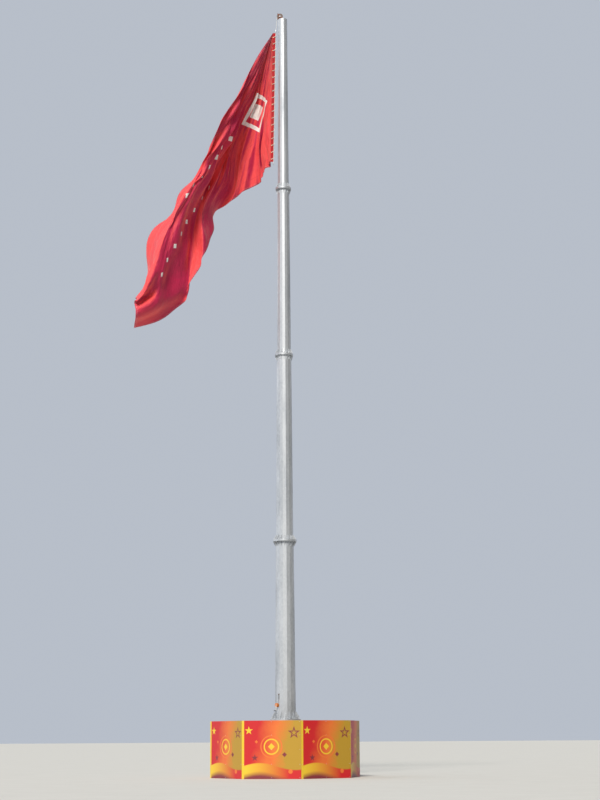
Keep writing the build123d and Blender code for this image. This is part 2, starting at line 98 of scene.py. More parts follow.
class ConcreteSettings(bpy.types.PropertyGroup):
    cement_light: colour("#C9C4B8", "Concrete", "Dry cast concrete")
    cement_dark: colour("#9C978C", "Stained concrete", "Damp and stained concrete")
    board_width: length(150 * MM, "Form board", "Width of the boards of the mould")


class TruckSettings(bpy.types.PropertyGroup):
    primer: colour("#9A4A2C", "Red oxide", "Red oxide primer on the truck")
    nylon: colour("#5E4334", "Nylon", "Brown cast nylon of the sheave and roller")


class RopeSettings(bpy.types.PropertyGroup):
    halyard_colour: colour("#F0EDE4", "Halyard", "Weathered polyester rope")
    winch_rope_colour: colour("#4E3A2B", "Winch rope", "Dark rope on the winch drum")
    winch_rope_diameter: length(12 * MM, "Winch rope size", "Diameter of the rope on the winch drum")
    lashing_diameter: length(26 * MM, "Lashing", "Diameter of the rope that laces the flag to its line")


class FlagSettings(bpy.types.PropertyGroup):
    cloth_colour: colour("#EE484A", "Cloth", "Red polyester of the flag")
    # Painted shade: this deeper red stands for shade on cloth that faces away from the main light; seams and
    # hems are also darkened with it
    cloth_shade: colour("#BC1248", "Cloth in the folds", "Deeper red of doubled and shaded cloth")
    device_colour: colour("#F1ECE8", "Device", "White cloth of the lozenge and the diamonds")
    fly: length(14.3, "Fly", "Length of the cut from the hoist to the fly")
    spacing: length(0.06, "Mesh spacing", "Distance between the mesh lines of the cloth")
    thickness: length(3 * MM, "Cloth thickness", "Thickness of the cloth with its hems")
    seam_spacing: length(1.5, "Seam spacing", "Width of the lengths of cloth that are sewn together")
    crease_depth: length(200 * MM, "Crease depth", "Depth of the fine creases that fan out from the corner")


class WinchSettings(bpy.types.PropertyGroup):
    drum_enamel: colour("#D97B1E", "Drum", "Orange enamel of the winch drum")
    crank_enamel: colour("#E6E4DC", "Crank", "White enamel of the crank")
    grip_colour: colour("#1D1D1E", "Grip", "Moulded grip of the crank")


class HoardingSettings(bpy.types.PropertyGroup):
    red: colour("#C4161C", "Red", "Main red of the print")
    orange: colour("#DD6F2A", "Orange", "Blend between the red and the yellow")
    yellow: colour("#E3BE2C", "Yellow", "Yellow of the print")
    # Painted shadow: this dull yellow stands for shade over the far side of each board
    ochre: colour("#B08A22", "Ochre", "Dull yellow at the far side of each board")
    maroon: colour("#7E2B33", "Maroon", "Dark outlines and shade of the print")
    ply_colour: colour("#B9925F", "Plywood", "Birch plywood of the boards")
    frame_paint: colour("#7E8387", "Frame paint", "Grey paint on the frames")
    skin_thickness: length(1.2 * MM, "Print thickness", "Thickness of the printed skin")


SETTING_GROUPS = {
    "flagpole_stage": StageSettings,
    "flagpole_steel": SteelSettings,
    "flagpole_concrete": ConcreteSettings,
    "flagpole_truck": TruckSettings,
    "flagpole_rope": RopeSettings,
    "flagpole_flag": FlagSettings,
    "flagpole_winch": WinchSettings,
    "flagpole_hoarding": HoardingSettings,
}


def settings(group):
    """The values of one settings group in this scene."""
    return getattr(bpy.context.scene, "flagpole_" + group)


# A Mix node's output and type when it mixes colours: its inputs are 0 the share, 6 and 7 the colours
COLOURS = {"out": 2, "data_type": "RGBA"}


def add_node(tree, kind, inputs=(), out=0, **choices):
    """Adds a node with its settings and links, and gives one of its outputs.

    Inputs are values or sockets, in order or by name or number. A step of arithmetic is written
    short, in place of a kind or a value, as a tuple of its operation and its values.
    """
    if isinstance(kind, tuple):
        return add_node(tree, "Math", kind[1:], operation=kind[0])
    node = tree.nodes.new("ShaderNode" + kind)
    for key, value in choices.items():
        setattr(node, key, value)
    for key, value in inputs.items() if isinstance(inputs, dict) else enumerate(inputs):
        if isinstance(value, tuple) and isinstance(value[0], str):
            value = add_node(tree, value)
        socket = node.inputs[key]
        if isinstance(value, bpy.types.NodeSocket):
            tree.links.new(value, socket)
        elif socket.type == "RGBA":
            socket.default_value = (*value, 1)
        else:
            socket.default_value = value
    return node.outputs[out] if node.outputs else node


def new_material(name):
    """An empty material and its node tree."""
    material = bpy.data.materials.new(name)
    material.use_nodes = True
    material.node_tree.nodes.clear()
    return material, material.node_tree


def finished(material, sockets):
    """Adds a material's shader, with values and links for its sockets, and gives the material."""
    tree = material.node_tree
    shader = add_node(tree, "BsdfPrincipled", sockets)
    add_node(tree, "OutputMaterial", {"Surface": shader})
    return material


def place_of(tree, stretch=(1, 1, 1)):
    """The surface's place in metres, fixed to the piece, stretched along its axes."""
    coords = add_node(tree, "TexCoord", out="Object")
    return add_node(tree, "Mapping", {"Vector": coords, "Scale": stretch})


def patches(tree, place, size, detail, limits, ends=(0, 1), roughness=0.55):
    """Cloudy patches of a size in metres.

    They are a share that runs from one end to the other as the cloud passes its two limits.
    """
    inputs = {"Vector": place, "Scale": 1 / size, "Detail": detail, "Roughness": roughness}
    cloud = add_node(tree, "TexNoise", inputs)
    return add_node(tree, "MapRange", (cloud, *limits, *ends))


def worn_relief(tree, height, depth, depth_share, edge):
    """Bump of a depth in metres, over edges that are rounded by a radius in metres."""
    edges = add_node(tree, "Bevel", {"Radius": edge}, samples=4)
    inputs = {"Height": height, "Distance": depth, "Strength": depth_share, "Normal": edges}
    return add_node(tree, "Bump", inputs)


# Materials
def galvanised_steel():
    """Hot-dip galvanised steel: a grey, softly shining skin of zinc crystals.

    The eye sees cloudy patches where the zinc has dulled, runs along the mast, and a broad sheen.
    Real crystals are 10 to 30 mm wide, drawn 70 mm wide here so that they show from the ground.
    """
    s = settings("steel")
    material, tree = new_material("hot_dip_zinc")
    bloom = patches(tree, place_of(tree, (1, 1, 0.22)), 550 * MM, 6, (0.35, 0.68), (0, 0.8))
    inputs = {"Vector": place_of(tree, (1, 1, 0.6)), "Scale": 1 / (70 * MM)}
    crystals = add_node(tree, "TexVoronoi", inputs, "Color")
    tone = add_node(tree, "SeparateColor", (crystals,))
    tone = add_node(tree, "MapRange", (tone, 0, 1, -0.12, 0.12))
    share = add_node(tree, ("ADD", bloom, tone))
    tint = add_node(tree, "Mix", {0: share, 6: s.zinc_light, 7: s.zinc_dull}, **COLOURS)
    shine = add_node(tree, "MapRange", (share, 0, 1, 0.36, 0.55))
    inputs = {"Vector": place_of(tree), "Scale": 1 / (25 * MM), "Detail": 3, "Roughness": 0.55}
    bump = worn_relief(tree, add_node(tree, "TexNoise", inputs), 0.4 * MM, 0.5, 3 * MM)
    return finished(material, {"Base Color": tint, "Metallic": 0.6, "Roughness": shine, "Normal": bump})


def cast_concrete():
    """Cast concrete: matt and pale, with the marks of the mould's boards and small air holes."""
    s = settings("concrete")
    material, tree = new_material("cast_concrete")
    place = place_of(tree)
    up = add_node(tree, "SeparateXYZ", (place,), 2)
    board = ("FRACT", ("DIVIDE", up, s.board_width))
    joint = add_node(tree, "MapRange", (("ABSOLUTE", ("SUBTRACT", board, 0.5)), 0.46, 0.5))
    stain = patches(tree, place_of(tree, (1, 1, 0.3)), 500 * MM, 7, (0.38, 0.7))
    tint = add_node(tree, "Mix", {0: stain, 6: s.cement_light, 7: s.cement_dark}, **COLOURS)
    tint = add_node(tree, "Mix", {0: ("MULTIPLY", joint, 0.45), 6: tint, 7: s.cement_dark}, **COLOURS)
    holes = add_node(tree, "TexVoronoi", {"Vector": place, "Scale": 1 / (45 * MM)}, "Distance")
    pits = add_node(tree, "MapRange", (holes, 0.05, 0.14))
    inputs = {"Vector": place, "Scale": 1 / (12 * MM), "Detail": 5, "Roughness": 0.55}
    height = ("SUBTRACT", ("ADD", pits, add_node(tree, "TexNoise", inputs)), joint)
    bump = worn_relief(tree, height, 2.5 * MM, 0.7, 15 * MM)
    return finished(material, {"Base Color": tint, "Roughness": 0.9, "Normal": bump})


def red_oxide_primer():
    """Brushed red oxide primer on steel: flat brown-red, chalky, with rust where it is thin."""
    s = settings("truck")
    material, tree = new_material("red_oxide_primer")
    rust = patches(tree, place_of(tree), 60 * MM, 6, (0.4, 0.7))
    tint = add_node(tree, "Mix", {0: rust, 6: s.primer, 7: linear("#4A2418")}, **COLOURS)
    inputs = {"Vector": place_of(tree, (1, 1, 8)), "Scale": 1 / (30 * MM), "Detail": 4, "Roughness": 0.55}
    bump = worn_relief(tree, add_node(tree, "TexNoise", inputs), 0.3 * MM, 1, 2 * MM)
    return finished(material, {"Base Color": tint, "Roughness": 0.75, "Normal": bump})


def enamel(name, coat_colour, chip_colour):
    """Gloss enamel on cast iron: a wet shine over slight orange peel, chipped to dark metal."""
    material, tree = new_material(name)
    place = place_of(tree)
    chips = patches(tree, place, 18 * MM, 8, (0.62, 0.66), roughness=0.7)
    tint = add_node(tree, "Mix", {0: chips, 6: coat_colour, 7: linear(chip_colour)}, **COLOURS)
    inputs = {"Vector": place, "Scale": 1 / (4 * MM), "Detail": 4, "Roughness": 0.55}
    bump = worn_relief(tree, add_node(tree, "TexNoise", inputs), 0.08 * MM, 1, 2 * MM)
    gloss = {"Roughness": 0.28, "Coat Weight": 0.4, "Coat Roughness": 0.12}
    return finished(material, {"Base Color": tint, "Normal": bump, **gloss})


def moulded_polymer(name, tint, roughness):
    """Cast nylon and moulded rubber: dark, satin, with faint tool marks."""
    material, tree = new_material(name)
    place = place_of(tree)
    wear = patches(tree, place, 20 * MM, 5, (0.45, 0.75), (0, 0.35))
    tint = add_node(tree, "Mix", {0: wear, 6: tint, 7: linear("#8C8C88")}, **COLOURS)
    inputs = {"Vector": place, "Scale": 1 / (2 * MM), "Detail": 4, "Roughness": 0.55}
    marks = add_node(tree, "TexNoise", inputs)
    bump = add_node(tree, "Bump", {"Height": marks, "Distance": 0.05 * MM, "Strength": 1})
    return finished(material, {"Base Color": tint, "Roughness": roughness, "Normal": bump})


def laid_rope(name, tint, darker_tint):
    """Laid polyester rope: dull strands that catch light on their crowns, darker between them and in cloudy
    patches.

    Along a hanging rope a strand comes round every 20 mm, and its fibres are a fine fuzz.
    """
    material, tree = new_material(name)
    place = place_of(tree)
    soil = patches(tree, place, 90 * MM, 6, (0.42, 0.75), (0, 0.6))
    wound = add_node(tree, "VectorMath", (place, (1, 1, 0.5)), "Value", operation="DOT_PRODUCT")
    strands = add_node(tree, ("ABSOLUTE", ("SINE", ("MULTIPLY", wound, math.pi / (10 * MM)))))
    # Darker in the grooves between the strands and in cloudy patches
    gaps = ("MAXIMUM", soil, add_node(tree, "MapRange", (strands, 0.35, 0.05)))
    tint = add_node(tree, "Mix", {0: gaps, 6: tint, 7: linear(darker_tint)}, **COLOURS)
    inputs = {"Vector": place, "Scale": 1 / (2 * MM), "Detail": 3, "Roughness": 0.55}
    height = ("ADD", ("MULTIPLY", strands, 4), add_node(tree, "TexNoise", inputs))
    bump = add_node(tree, "Bump", {"Height": height, "Distance": 0.6 * MM, "Strength": 1})
    fuzz = {"Roughness": 0.8, "Sheen Weight": 0.4, "Sheen Roughness": 0.4}
    return finished(material, {"Base Color": tint, "Normal": bump, **fuzz})


def canvas_webbing():
    """Heavy woven canvas webbing: matt red with a coarse rib across its length."""
    material, tree = new_material("canvas_webbing")
    place = place_of(tree)
    wear = patches(tree, place, 200 * MM, 6, (0.4, 0.75), (0, 0.6))
    tint = add_node(tree, "Mix", {0: wear, 6: linear("#B00E1A"), 7: linear("#7A0C18")}, **COLOURS)
    up = add_node(tree, "SeparateXYZ", (place,), 2)
    rib = ("SINE", ("MULTIPLY", up, 2 * math.pi / (6 * MM)))
    bump = add_node(tree, "Bump", {"Height": rib, "Distance": 0.5 * MM, "Strength": 0.6})
    return finished(material, {"Base Color": tint, "Roughness": 0.85, "Sheen Weight": 0.1, "Normal": bump})


def rolled_brass():
    """Rolled brass eyelets: warm yellow metal, dulled brown where hands and rain have been."""
    material, tree = new_material("rolled_brass")
    tarnish = patches(tree, place_of(tree), 15 * MM, 5, (0.4, 0.7))
    tint = add_node(tree, "Mix", {0: tarnish, 6: linear("#D9B566"), 7: linear("#8A6B33")}, **COLOURS)
    return finished(material, {"Base Color": tint, "Metallic": 1, "Roughness": 0.32})


def plywood():
    """Birch plywood with a clear sealer: warm, with long grain across the board."""
    s = settings("hoarding")
    material, tree = new_material("birch_plywood")
    inputs = {"Vector": place_of(tree, (1, 1, 14)), "Scale": 1 / (260 * MM), "Detail": 8, "Roughness": 0.6}
    grain = add_node(tree, "TexNoise", inputs)
    dark = add_node(tree, "MapRange", (grain, 0.3, 0.7))
    tint = add_node(tree, "Mix", {0: dark, 6: s.ply_colour, 7: linear("#8A6439")}, **COLOURS)
    bump = add_node(tree, "Bump", {"Height": grain, "Distance": 0.5 * MM, "Strength": 1})
    return finished(material, {"Base Color": tint, "Roughness": 0.6, "Normal": bump})


def painted_tube():
    """Brush-painted steel tube: satin grey with scuffs."""
    s = settings("hoarding")
    material, tree = new_material("painted_steel_tube")
    scuffs = patches(tree, place_of(tree), 120 * MM, 8, (0.55, 0.7), roughness=0.7)
    tint = add_node(tree, "Mix", {0: scuffs, 6: s.frame_paint, 7: linear("#5A4B42")}, **COLOURS)
    return finished(material, {"Base Color": tint, "Roughness": 0.45})


# Small forms, each a list of points and a list of faces

# Corners of a nut: the share of its height over which they are turned off, and how far out they end,
# as a share of the circle that touches its flats
NUT_CHAMFER, NUT_CROWN = 0.12, 1.02
# Pitch of a thread, and the radii of its root and of the stud's tip, as shares of the diameter
THREAD_PITCH, THREAD_ROOT, STUD_TIP = 0.16, 0.45, 0.42


def ring_faces(count, sides, closed=False):
    """Faces between rings of points. The end rings are filled, unless the form runs into itself."""
    faces = []
    for i in range(count if closed else count - 1):
        for k in range(sides):
            low, next_low = i * sides + k, i * sides + (k + 1) % sides
            high, next_high = [(n + sides) % (count * sides) for n in (low, next_low)]
            faces.append((low, next_low, next_high, high))
    if not closed:
        faces += [tuple(range(sides))[::-1], tuple(range((count - 1) * sides, count * sides))]
    return faces


def lathe(profile, sides):
    """A form turned about Z from (radius, height) pairs, closed at both ends."""
    angles = [2 * math.pi * k / sides for k in range(sides)]
    points = [(r * math.cos(a), r * math.sin(a), height) for r, height in profile for a in angles]
    return points, ring_faces(len(profile), sides)


def tube(path, radius, sides=8, closed=False):
    """A round bar along a path; radius is one number or one for each point."""
    path = [Vector(p) for p in path]
    count = len(path)
    radii = radius if hasattr(radius, "__len__") else [radius] * count
    points = []
    side = None
    for i, place in enumerate(path):
        if closed:
            ahead = path[(i + 1) % count] - path[i - 1]
        else:
            ahead = path[min(i + 1, count - 1)] - path[max(i - 1, 0)]
        ahead.normalize()
        if side is None:
            side = ahead.orthogonal().normalized()
        side = (side - ahead * side.dot(ahead)).normalized()
        up = ahead.cross(side)
        for k in range(sides):
            angle = 2 * math.pi * k / sides
            points.append(place + (side * math.cos(angle) + up * math.sin(angle)) * radii[i])
    return points, ring_faces(count, sides, closed)


def hex_form(across, height):
    """A hexagon head or nut, across its flats, with its corners turned off at the top."""
    corner = across / math.sqrt(3)
    slope = corner * (1 - math.cos(math.pi / 6) * NUT_CROWN)
    return lathe([(corner, 0), (corner, height * (1 - NUT_CHAMFER)), (corner - slope, height)], 6)


def stud_form(diameter, height):
    """A threaded rod with coarse ridges, as it stands out of a nut."""
    ridges = max(2, int(height / (diameter * THREAD_PITCH)))
    profile = []
    for k in range(ridges):
        level = height * k / ridges
        profile += [(diameter / 2, level), (diameter * THREAD_ROOT, level + height / ridges / 2)]
    return lathe(profile + [(diameter * STUD_TIP, height)], 12)


def moved(*place):
    """A move along the axes."""
    return Matrix.Translation(place)


def turned(angle, axis):
    """A turn about an axis."""
    return Matrix.Rotation(angle, 4, axis)


def new_object(name, points, faces, material=None):
    """A new object with its mesh, in the scene."""
    mesh = bpy.data.meshes.new(name)
    mesh.from_pydata(points, [], faces)
    if material:
        mesh.materials.append(material)
    made = bpy.data.objects.new(name, mesh)
    bpy.context.scene.collection.objects.link(made)
    return made


class Pile:
    """Collects small repeated forms into one mesh."""

    def __init__(self):
        self.points = []
        self.faces = []

    def add(self, form, place=None):
        """Adds a form, moved by a matrix."""
        start = len(self.points)
        points, faces = form
        self.points += [tuple(place @ Vector(p)) if place else tuple(p) for p in points]
        self.faces += [[start + i for i in face] for face in faces]

    def make(self, name, material, body, smooth_angle=30):
        """Makes the piece, which rides on a body."""
        piece = new_object(name, self.points, self.faces, material)
        piece.data.shade_smooth()
        piece.data.set_sharp_from_angle(angle=math.radians(smooth_angle))
        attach(piece, body)
        return piece


def paint(material, *names):
    """Gives CAD nodes a material."""
    for name in names:
        if not nodes[name].material_slots:
            nodes[name].data.materials.append(material)
        for material_slot in nodes[name].material_slots:
            material_slot.material = material


def zinc_coat():
    """The zinc that several operators use, made once."""
    return bpy.data.materials.get("hot_dip_zinc") or galvanised_steel()


# Camera, from the photograph's fitted viewpoint
CAMERA_PLACE = (0.872, -72.055, 1.652)
CAMERA_YAW, CAMERA_PITCH, CAMERA_ROLL = (math.radians(d) for d in (0.1302, 11.6171, -0.3497))
FOCAL_PIXELS = 1643
PHOTO_HEIGHT_PIXELS = 800
SENSOR_MM = 36
# Where each light comes from: the main one from the front, high up and a little to the left
KEY_DIRECTION, FILL_DIRECTION = (-0.18, -0.74, 0.65), (-0.8, 0.35, 0.45)
KEY_TINT, FILL_TINT = (1.0, 0.96, 0.88), (0.9, 0.95, 1.0)
KEY_SOFTNESS, FILL_SOFTNESS = 15, 60
# The backdrop is pale behind the object; in front it is bright on the left and falls off to the
# right, so that round forms keep a dark edge
BACKDROP_LEFT, BACKDROP_RIGHT, BACKDROP_BEHIND = 1.15, 0.15, 0.95
STAGE_REACH = 600


def sun_light(name, direction, tint, power, softness):
    """A broad light from far away, with softness as its angle across in degrees."""
    light = bpy.data.lights.new(name, "SUN")
    light.color = tint
    light.energy = power
    light.angle = math.radians(softness)
    lamp = bpy.data.objects.new(name, light)
    lamp.rotation_mode = "QUATERNION"
    lamp.rotation_quaternion = Vector(direction).to_track_quat("Z", "Y")
    bpy.context.scene.collection.objects.link(lamp)


class FLAGPOLE_OT_stage(bpy.types.Operator):
    """Camera, soft lights, pale backdrop and floor"""

    bl_idname = "flagpole.stage"
    bl_label = "Stage"

    def execute(self, context):
        s = settings("stage")
        scene = context.scene
        camera = bpy.data.cameras.new("camera")
        camera.lens = FOCAL_PIXELS * SENSOR_MM / PHOTO_HEIGHT_PIXELS
        camera.sensor_width = SENSOR_MM
        camera.clip_end = 2 * STAGE_REACH
        scene.camera = bpy.data.objects.new("camera", camera)
        aim = turned(CAMERA_YAW, "Z") @ turned(math.pi / 2 + CAMERA_PITCH, "X") @ turned(CAMERA_ROLL, "Z")
        scene.camera.matrix_world = moved(*CAMERA_PLACE) @ aim
        scene.collection.objects.link(scene.camera)
        sun_light("key_light", KEY_DIRECTION, KEY_TINT, s.key_strength, KEY_SOFTNESS)
        sun_light("fill_light", FILL_DIRECTION, FILL_TINT, s.fill_strength, FILL_SOFTNESS)
        scene.world = bpy.data.worlds.new("studio")
        scene.world.use_nodes = True
        tree = scene.world.node_tree
        tree.nodes.clear()
        way = add_node(tree, "TexCoord", out="Generated")
        right, away = [add_node(tree, "SeparateXYZ", (way,), axis) for axis in (0, 1)]
        behind = add_node(tree, "MapRange", (away, 0.2, 0.7))
        side = add_node(tree, "MapRange", (right, -1, 0.8, BACKDROP_LEFT, BACKDROP_RIGHT))
        gain = ("MULTIPLY", behind, ("SUBTRACT", BACKDROP_BEHIND, side))
        inputs = {"Color": s.backdrop_colour, "Strength": ("ADD", side, gain)}
        backdrop = add_node(tree, "Background", inputs)
        add_node(tree, "OutputWorld", {"Surface": backdrop})
        scene.view_settings.view_transform = "Standard"
        # Painted studio floor: pale and matt, with faint cloudy marks of use
        material, tree = new_material("pale_floor")
        grit = patches(tree, place_of(tree), 1.5, 5, (0.3, 0.7), (0, 0.12))
        tint = add_node(tree, "Mix", {0: grit, 6: s.floor_colour, 7: linear("#A8A6A0")}, **COLOURS)
        finished(material, {"Base Color": tint, "Roughness": 0.85})
        corners = [(x * STAGE_REACH, y * STAGE_REACH, 0) for x, y in ((-1, -1), (1, -1), (1, 1), (-1, 1))]
        new_object("floor", corners, [(0, 1, 2, 3)], material)
        return {"FINISHED"}


# Foundation: the hoarding and the pedestal are turned together about the mast's axis
HOARDING_TURN = math.radians(10.5)
PEDESTAL_WIDTH = 1.7
TIE_LEVELS = (0.5, 1.25, 2.0)
TIE_SIDES = (-0.5, 0.5)


class FLAGPOLE_OT_foundation(bpy.types.Operator):
    """Cast concrete of the pedestal and its grout bed, with the plugs of the mould's ties"""

    bl_idname = "flagpole.foundation"
    bl_label = "Foundation"

    def execute(self, context):
        concrete = cast_concrete()
        paint(concrete, "foundation_pedestal", "grout_bed")
        plugs = Pile()
        plug = lathe([(14 * MM, -4 * MM), (26 * MM, -4 * MM), (26 * MM, 1 * MM), (20 * MM, 3 * MM)], 16)
        for k in range(4):
            face = turned(-HOARDING_TURN + k * math.pi / 2, "Z")
            for level in TIE_LEVELS:
                for side in TIE_SIDES:
                    place = moved(side, -PEDESTAL_WIDTH / 2, level) @ turned(math.pi / 2, "X")
                    plugs.add(plug, face @ place)
        plugs.make("tie_plugs", concrete, "root")
        return {"FINISHED"}


# Mast: its sides and sections, the thickness of a joint's plate, and the welds of gussets and seams
SIDES = 16
SECTION_COUNT = 4
PLATE = 40 * MM
GUSSET_BEAD, GUSSET_THICKNESS, GUSSET_MARGIN = 9 * MM, 12 * MM, 24 * MM
BASE_GUSSET_HEIGHT, JOINT_GUSSET_HEIGHT = 0.29, 0.19
SEAM_AZIMUTH = math.radians(-67.5)
SEAM_BEAD = 10 * MM
BEAD_STEP = 0.05
# Ripple of a bead: its share of the radius and its step, in even waves and by chance
WAVE_SHARE, WAVE_STEP, CHANCE_SHARE, CHANCE_STEP = 0.16, 1.9, 0.1, 0.7
section_boxes = [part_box(f"mast_section_{i + 1}") for i in range(SECTION_COUNT)]
joint_levels = [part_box(f"joint_{j + 1}_upper_flange")[0].z for j in range(SECTION_COUNT - 1)]
joint_edges = [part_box(f"joint_{j + 1}_upper_flange")[1].x for j in range(SECTION_COUNT - 1)]
base_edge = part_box("base_flange")[1].x


def ring_radius(name, level):
    """Half the width across the flats of a mast section near a level, from its vertices."""
    co = np.array([v.co for v in nodes[name].data.vertices])
    rings = co[np.abs(co[:, 2] - level) < 1 * MM]
    return float(np.hypot(rings[:, 0], rings[:, 1]).max()) * math.cos(math.pi / SIDES)


section_ends = [
    [ring_radius(f"mast_section_{i + 1}", z) for z in (section_boxes[i][0].z, section_boxes[i][1].z)]
    for i in range(SECTION_COUNT)
]


def wall_radius(section, level):
    """Half the width across the flats of a section at a level."""
    low, high = section_boxes[section][0].z, section_boxes[section][1].z
    foot, head = section_ends[section]
    return foot + (head - foot) * (level - low) / (high - low)


def bead_radii(count, width, seed):
    """Radii along a weld bead, rippled as the arc laid it."""
    radii = []
    for k in range(count):
        chance = noise.noise(Vector((k * CHANCE_STEP, seed, 0)))
        radii.append(width / 2 * (1 + WAVE_SHARE * math.sin(k * WAVE_STEP) + CHANCE_SHARE * chance))
    return radii


def gusset_beads(pile, face, direction, wall, plate_edge, height):
    """Fillet welds on both sides of each gusset, along its plate and up the mast's wall."""
    bead = GUSSET_BEAD / 2
    outwards = np.linspace(wall, plate_edge - GUSSET_MARGIN, 6)
    upwards = np.linspace(bead, height, 6)
    for k in range(SIDES):
        turn = turned(2 * math.pi * k / SIDES, "Z")
        for side in (-GUSSET_THICKNESS / 2, GUSSET_THICKNESS / 2):
            foot = [(side, -r, face + direction * bead / 2) for r in outwards]
            rise = [(side, -wall - bead / 2, face + direction * z) for z in upwards]
            for path in (foot, rise):
                pile.add(tube(path, bead_radii(6, GUSSET_BEAD, k), 5), turn)


class FLAGPOLE_OT_mast(bpy.types.Operator):
    """Galvanised sections, with the seam along each and the welds at their plates"""

    bl_idname = "flagpole.mast"
    bl_label = "Mast"

    def execute(self, context):
        s = settings("steel")
        zinc = zinc_coat()
        steel_nodes = [n for n in nodes if n.startswith(("mast_", "joint_")) or n == "base_flange"]
        paint(zinc, *steel_nodes, "sheave_axle", "head_toggle", "tack_toggle", "winch_bracket")
        welds = Pile()
        corners = [math.pi * (2 * k + 1) / SIDES for k in range(SIDES)]
        for i, (low, high) in enumerate(section_boxes):
            low, high = low.z, high.z
            path = []
            for level in np.linspace(low, high, int((high - low) / BEAD_STEP) + 1):
                radius = wall_radius(i, level)
                path.append((radius * math.sin(SEAM_AZIMUTH), -radius * math.cos(SEAM_AZIMUTH), level))
            welds.add(tube(path, bead_radii(len(path), SEAM_BEAD, i), 6))
            # no plate is welded on at the mast's rim
            for level in (low, high) if i < SECTION_COUNT - 1 else (low,):
                r = wall_radius(i, level) / math.cos(math.pi / SIDES)
                ring = [(r * math.cos(a), r * math.sin(a), level) for a in corners]
                welds.add(tube(ring, s.bead_width / 2, 6, closed=True))
        foot = section_boxes[0][0].z
        gusset_beads(welds, foot, 1, wall_radius(0, foot), base_edge, BASE_GUSSET_HEIGHT)
        for j, level in enumerate(joint_levels):
            for section, direction in ((j, -1), (j + 1, 1)):
                face = level + direction * PLATE
                wall = wall_radius(section, face)
                gusset_beads(welds, face, direction, wall, joint_edges[j], JOINT_GUSSET_HEIGHT)
        welds.make("weld_beads", zinc, "root", 60)
        return {"FINISHED"}


# Bolts: how far a stud or bolt's end stands above or below its nut
ANCHOR_END, BOLT_END_ABOVE, BOLT_END_BELOW = 75 * MM, 12 * MM, 22 * MM
ANCHORS_OUTWARDS = 15 * MM
# Washers and nuts by their share of the bolt's diameter
WASHER_RADIUS, WASHER_HOLE, WASHER_HEIGHT = 1.05, 0.6, 0.14
NUT_ACROSS, NUT_HEIGHT = 1.6, 0.85


def bolt_ring(pile, count, radius, level, bolt, up, stud):
    """Bolts round a plate: washer, nut and stud end, upwards or downwards from a level."""
    washer_height, nut_height = bolt * WASHER_HEIGHT, bolt * NUT_HEIGHT
    rim, hole = bolt * WASHER_RADIUS, bolt * WASHER_HOLE
    washer = lathe([(rim, 0), (rim, washer_height), (hole, washer_height)], 20)
    nut = hex_form(bolt * NUT_ACROSS, nut_height)
    rod = stud_form(bolt, stud)
    for k in range(count):
        azimuth = 2 * math.pi * (k + 0.5) / count
        place = moved(radius * math.sin(azimuth), -radius * math.cos(azimuth), level)
        if not up:
            place = place @ turned(math.pi, "X")
        spin = turned(noise.random() * math.pi / 3, "Z")
        pile.add(washer, place)
        pile.add(nut, place @ moved(0, 0, washer_height) @ spin)
        pile.add(rod, place @ moved(0, 0, washer_height + nut_height))


class FLAGPOLE_OT_bolts(bpy.types.Operator):
    """Anchor studs and nuts on the base plate, and bolts through the plates of each joint"""

    bl_idname = "flagpole.bolts"
    bl_label = "Bolts"

    def execute(self, context):
        s = settings("steel")
        noise.seed_set(7)
        zinc = zinc_coat()
        count = s.bolts_per_ring
        circle = (base_edge + section_ends[0][0]) / 2 + ANCHORS_OUTWARDS
        anchors = Pile()
        bolt_ring(anchors, count, circle, section_boxes[0][0].z, s.base_stud, True, ANCHOR_END)
        anchors.make("anchor_bolts", zinc, "root")
        for j, level in enumerate(joint_levels):
            circle = (joint_edges[j] + max(section_ends[j][1], section_ends[j + 1][0])) / 2
            bolts = Pile()
            bolt_ring(bolts, count, circle, level + PLATE, s.joint_bolt, True, BOLT_END_ABOVE)
            bolt_ring(bolts, count, circle, level - PLATE, s.joint_bolt, False, BOLT_END_BELOW)
            bolts.make(f"joint_{j + 1}_bolts", zinc, "root")
        return {"FINISHED"}


# Truck
GUARD_RADIUS = 8 * MM
GUARD_NUT_ACROSS, GUARD_NUT_HEIGHT = 24 * MM, 7 * MM


class FLAGPOLE_OT_truck(bpy.types.Operator):
    """Revolving truck in red oxide primer, with its nylon sheave and the nuts of its guards"""

    bl_idname = "flagpole.truck"
    bl_label = "Truck"

    def execute(self, context):
        s = settings("truck")
        primer = red_oxide_primer()
        paint(primer, "truck_spindle", "truck_cheek_front", "truck_cheek_back", "rope_guards")
        paint(moulded_polymer("cast_nylon", s.nylon, 0.5), "sheave", "fairlead_roller")
        low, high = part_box("rope_guards")
        front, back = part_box("truck_cheek_front")[0].y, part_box("truck_cheek_back")[1].y
        nuts = Pile()
        nut = hex_form(GUARD_NUT_ACROSS, GUARD_NUT_HEIGHT)
        for face, turn in ((front, math.pi / 2), (back, -math.pi / 2)):
            for level in (low.z + GUARD_RADIUS, high.z - GUARD_RADIUS):
                nuts.add(nut, moved(low.x + GUARD_RADIUS, face, level) @ turned(turn, "X"))
        nuts.make("guard_nuts", primer, "truck")
        return {"FINISHED"}


# Flag: it is laced to the hoist line between the two toggles and fans out from its upper corner
def box_middle(name):
    """Centre of a node's box."""
    low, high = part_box(name)
    return (low + high) / 2


HEADING_START = 85 * MM
HEADING_NEAR = 8.3 * MM
HEADING_WIDTH = 125 * MM
head_point = box_middle("head_toggle")
tack_point = box_middle("tack_toggle")
hoist_direction = (tack_point - head_point).normalized()
left_direction = Vector((hoist_direction.z, 0, -hoist_direction.x))
flag_hoist = (tack_point - head_point).length - 2 * HEADING_START


def hoist_place(distance, left, forward=0.0):
    """A point down the hoist line, out to the flag's side and towards the viewer."""
    return head_point + hoist_direction * distance + left_direction * left - Vector((0, forward, 0))


flag_corner = hoist_place(HEADING_START, HEADING_NEAR + HEADING_WIDTH)

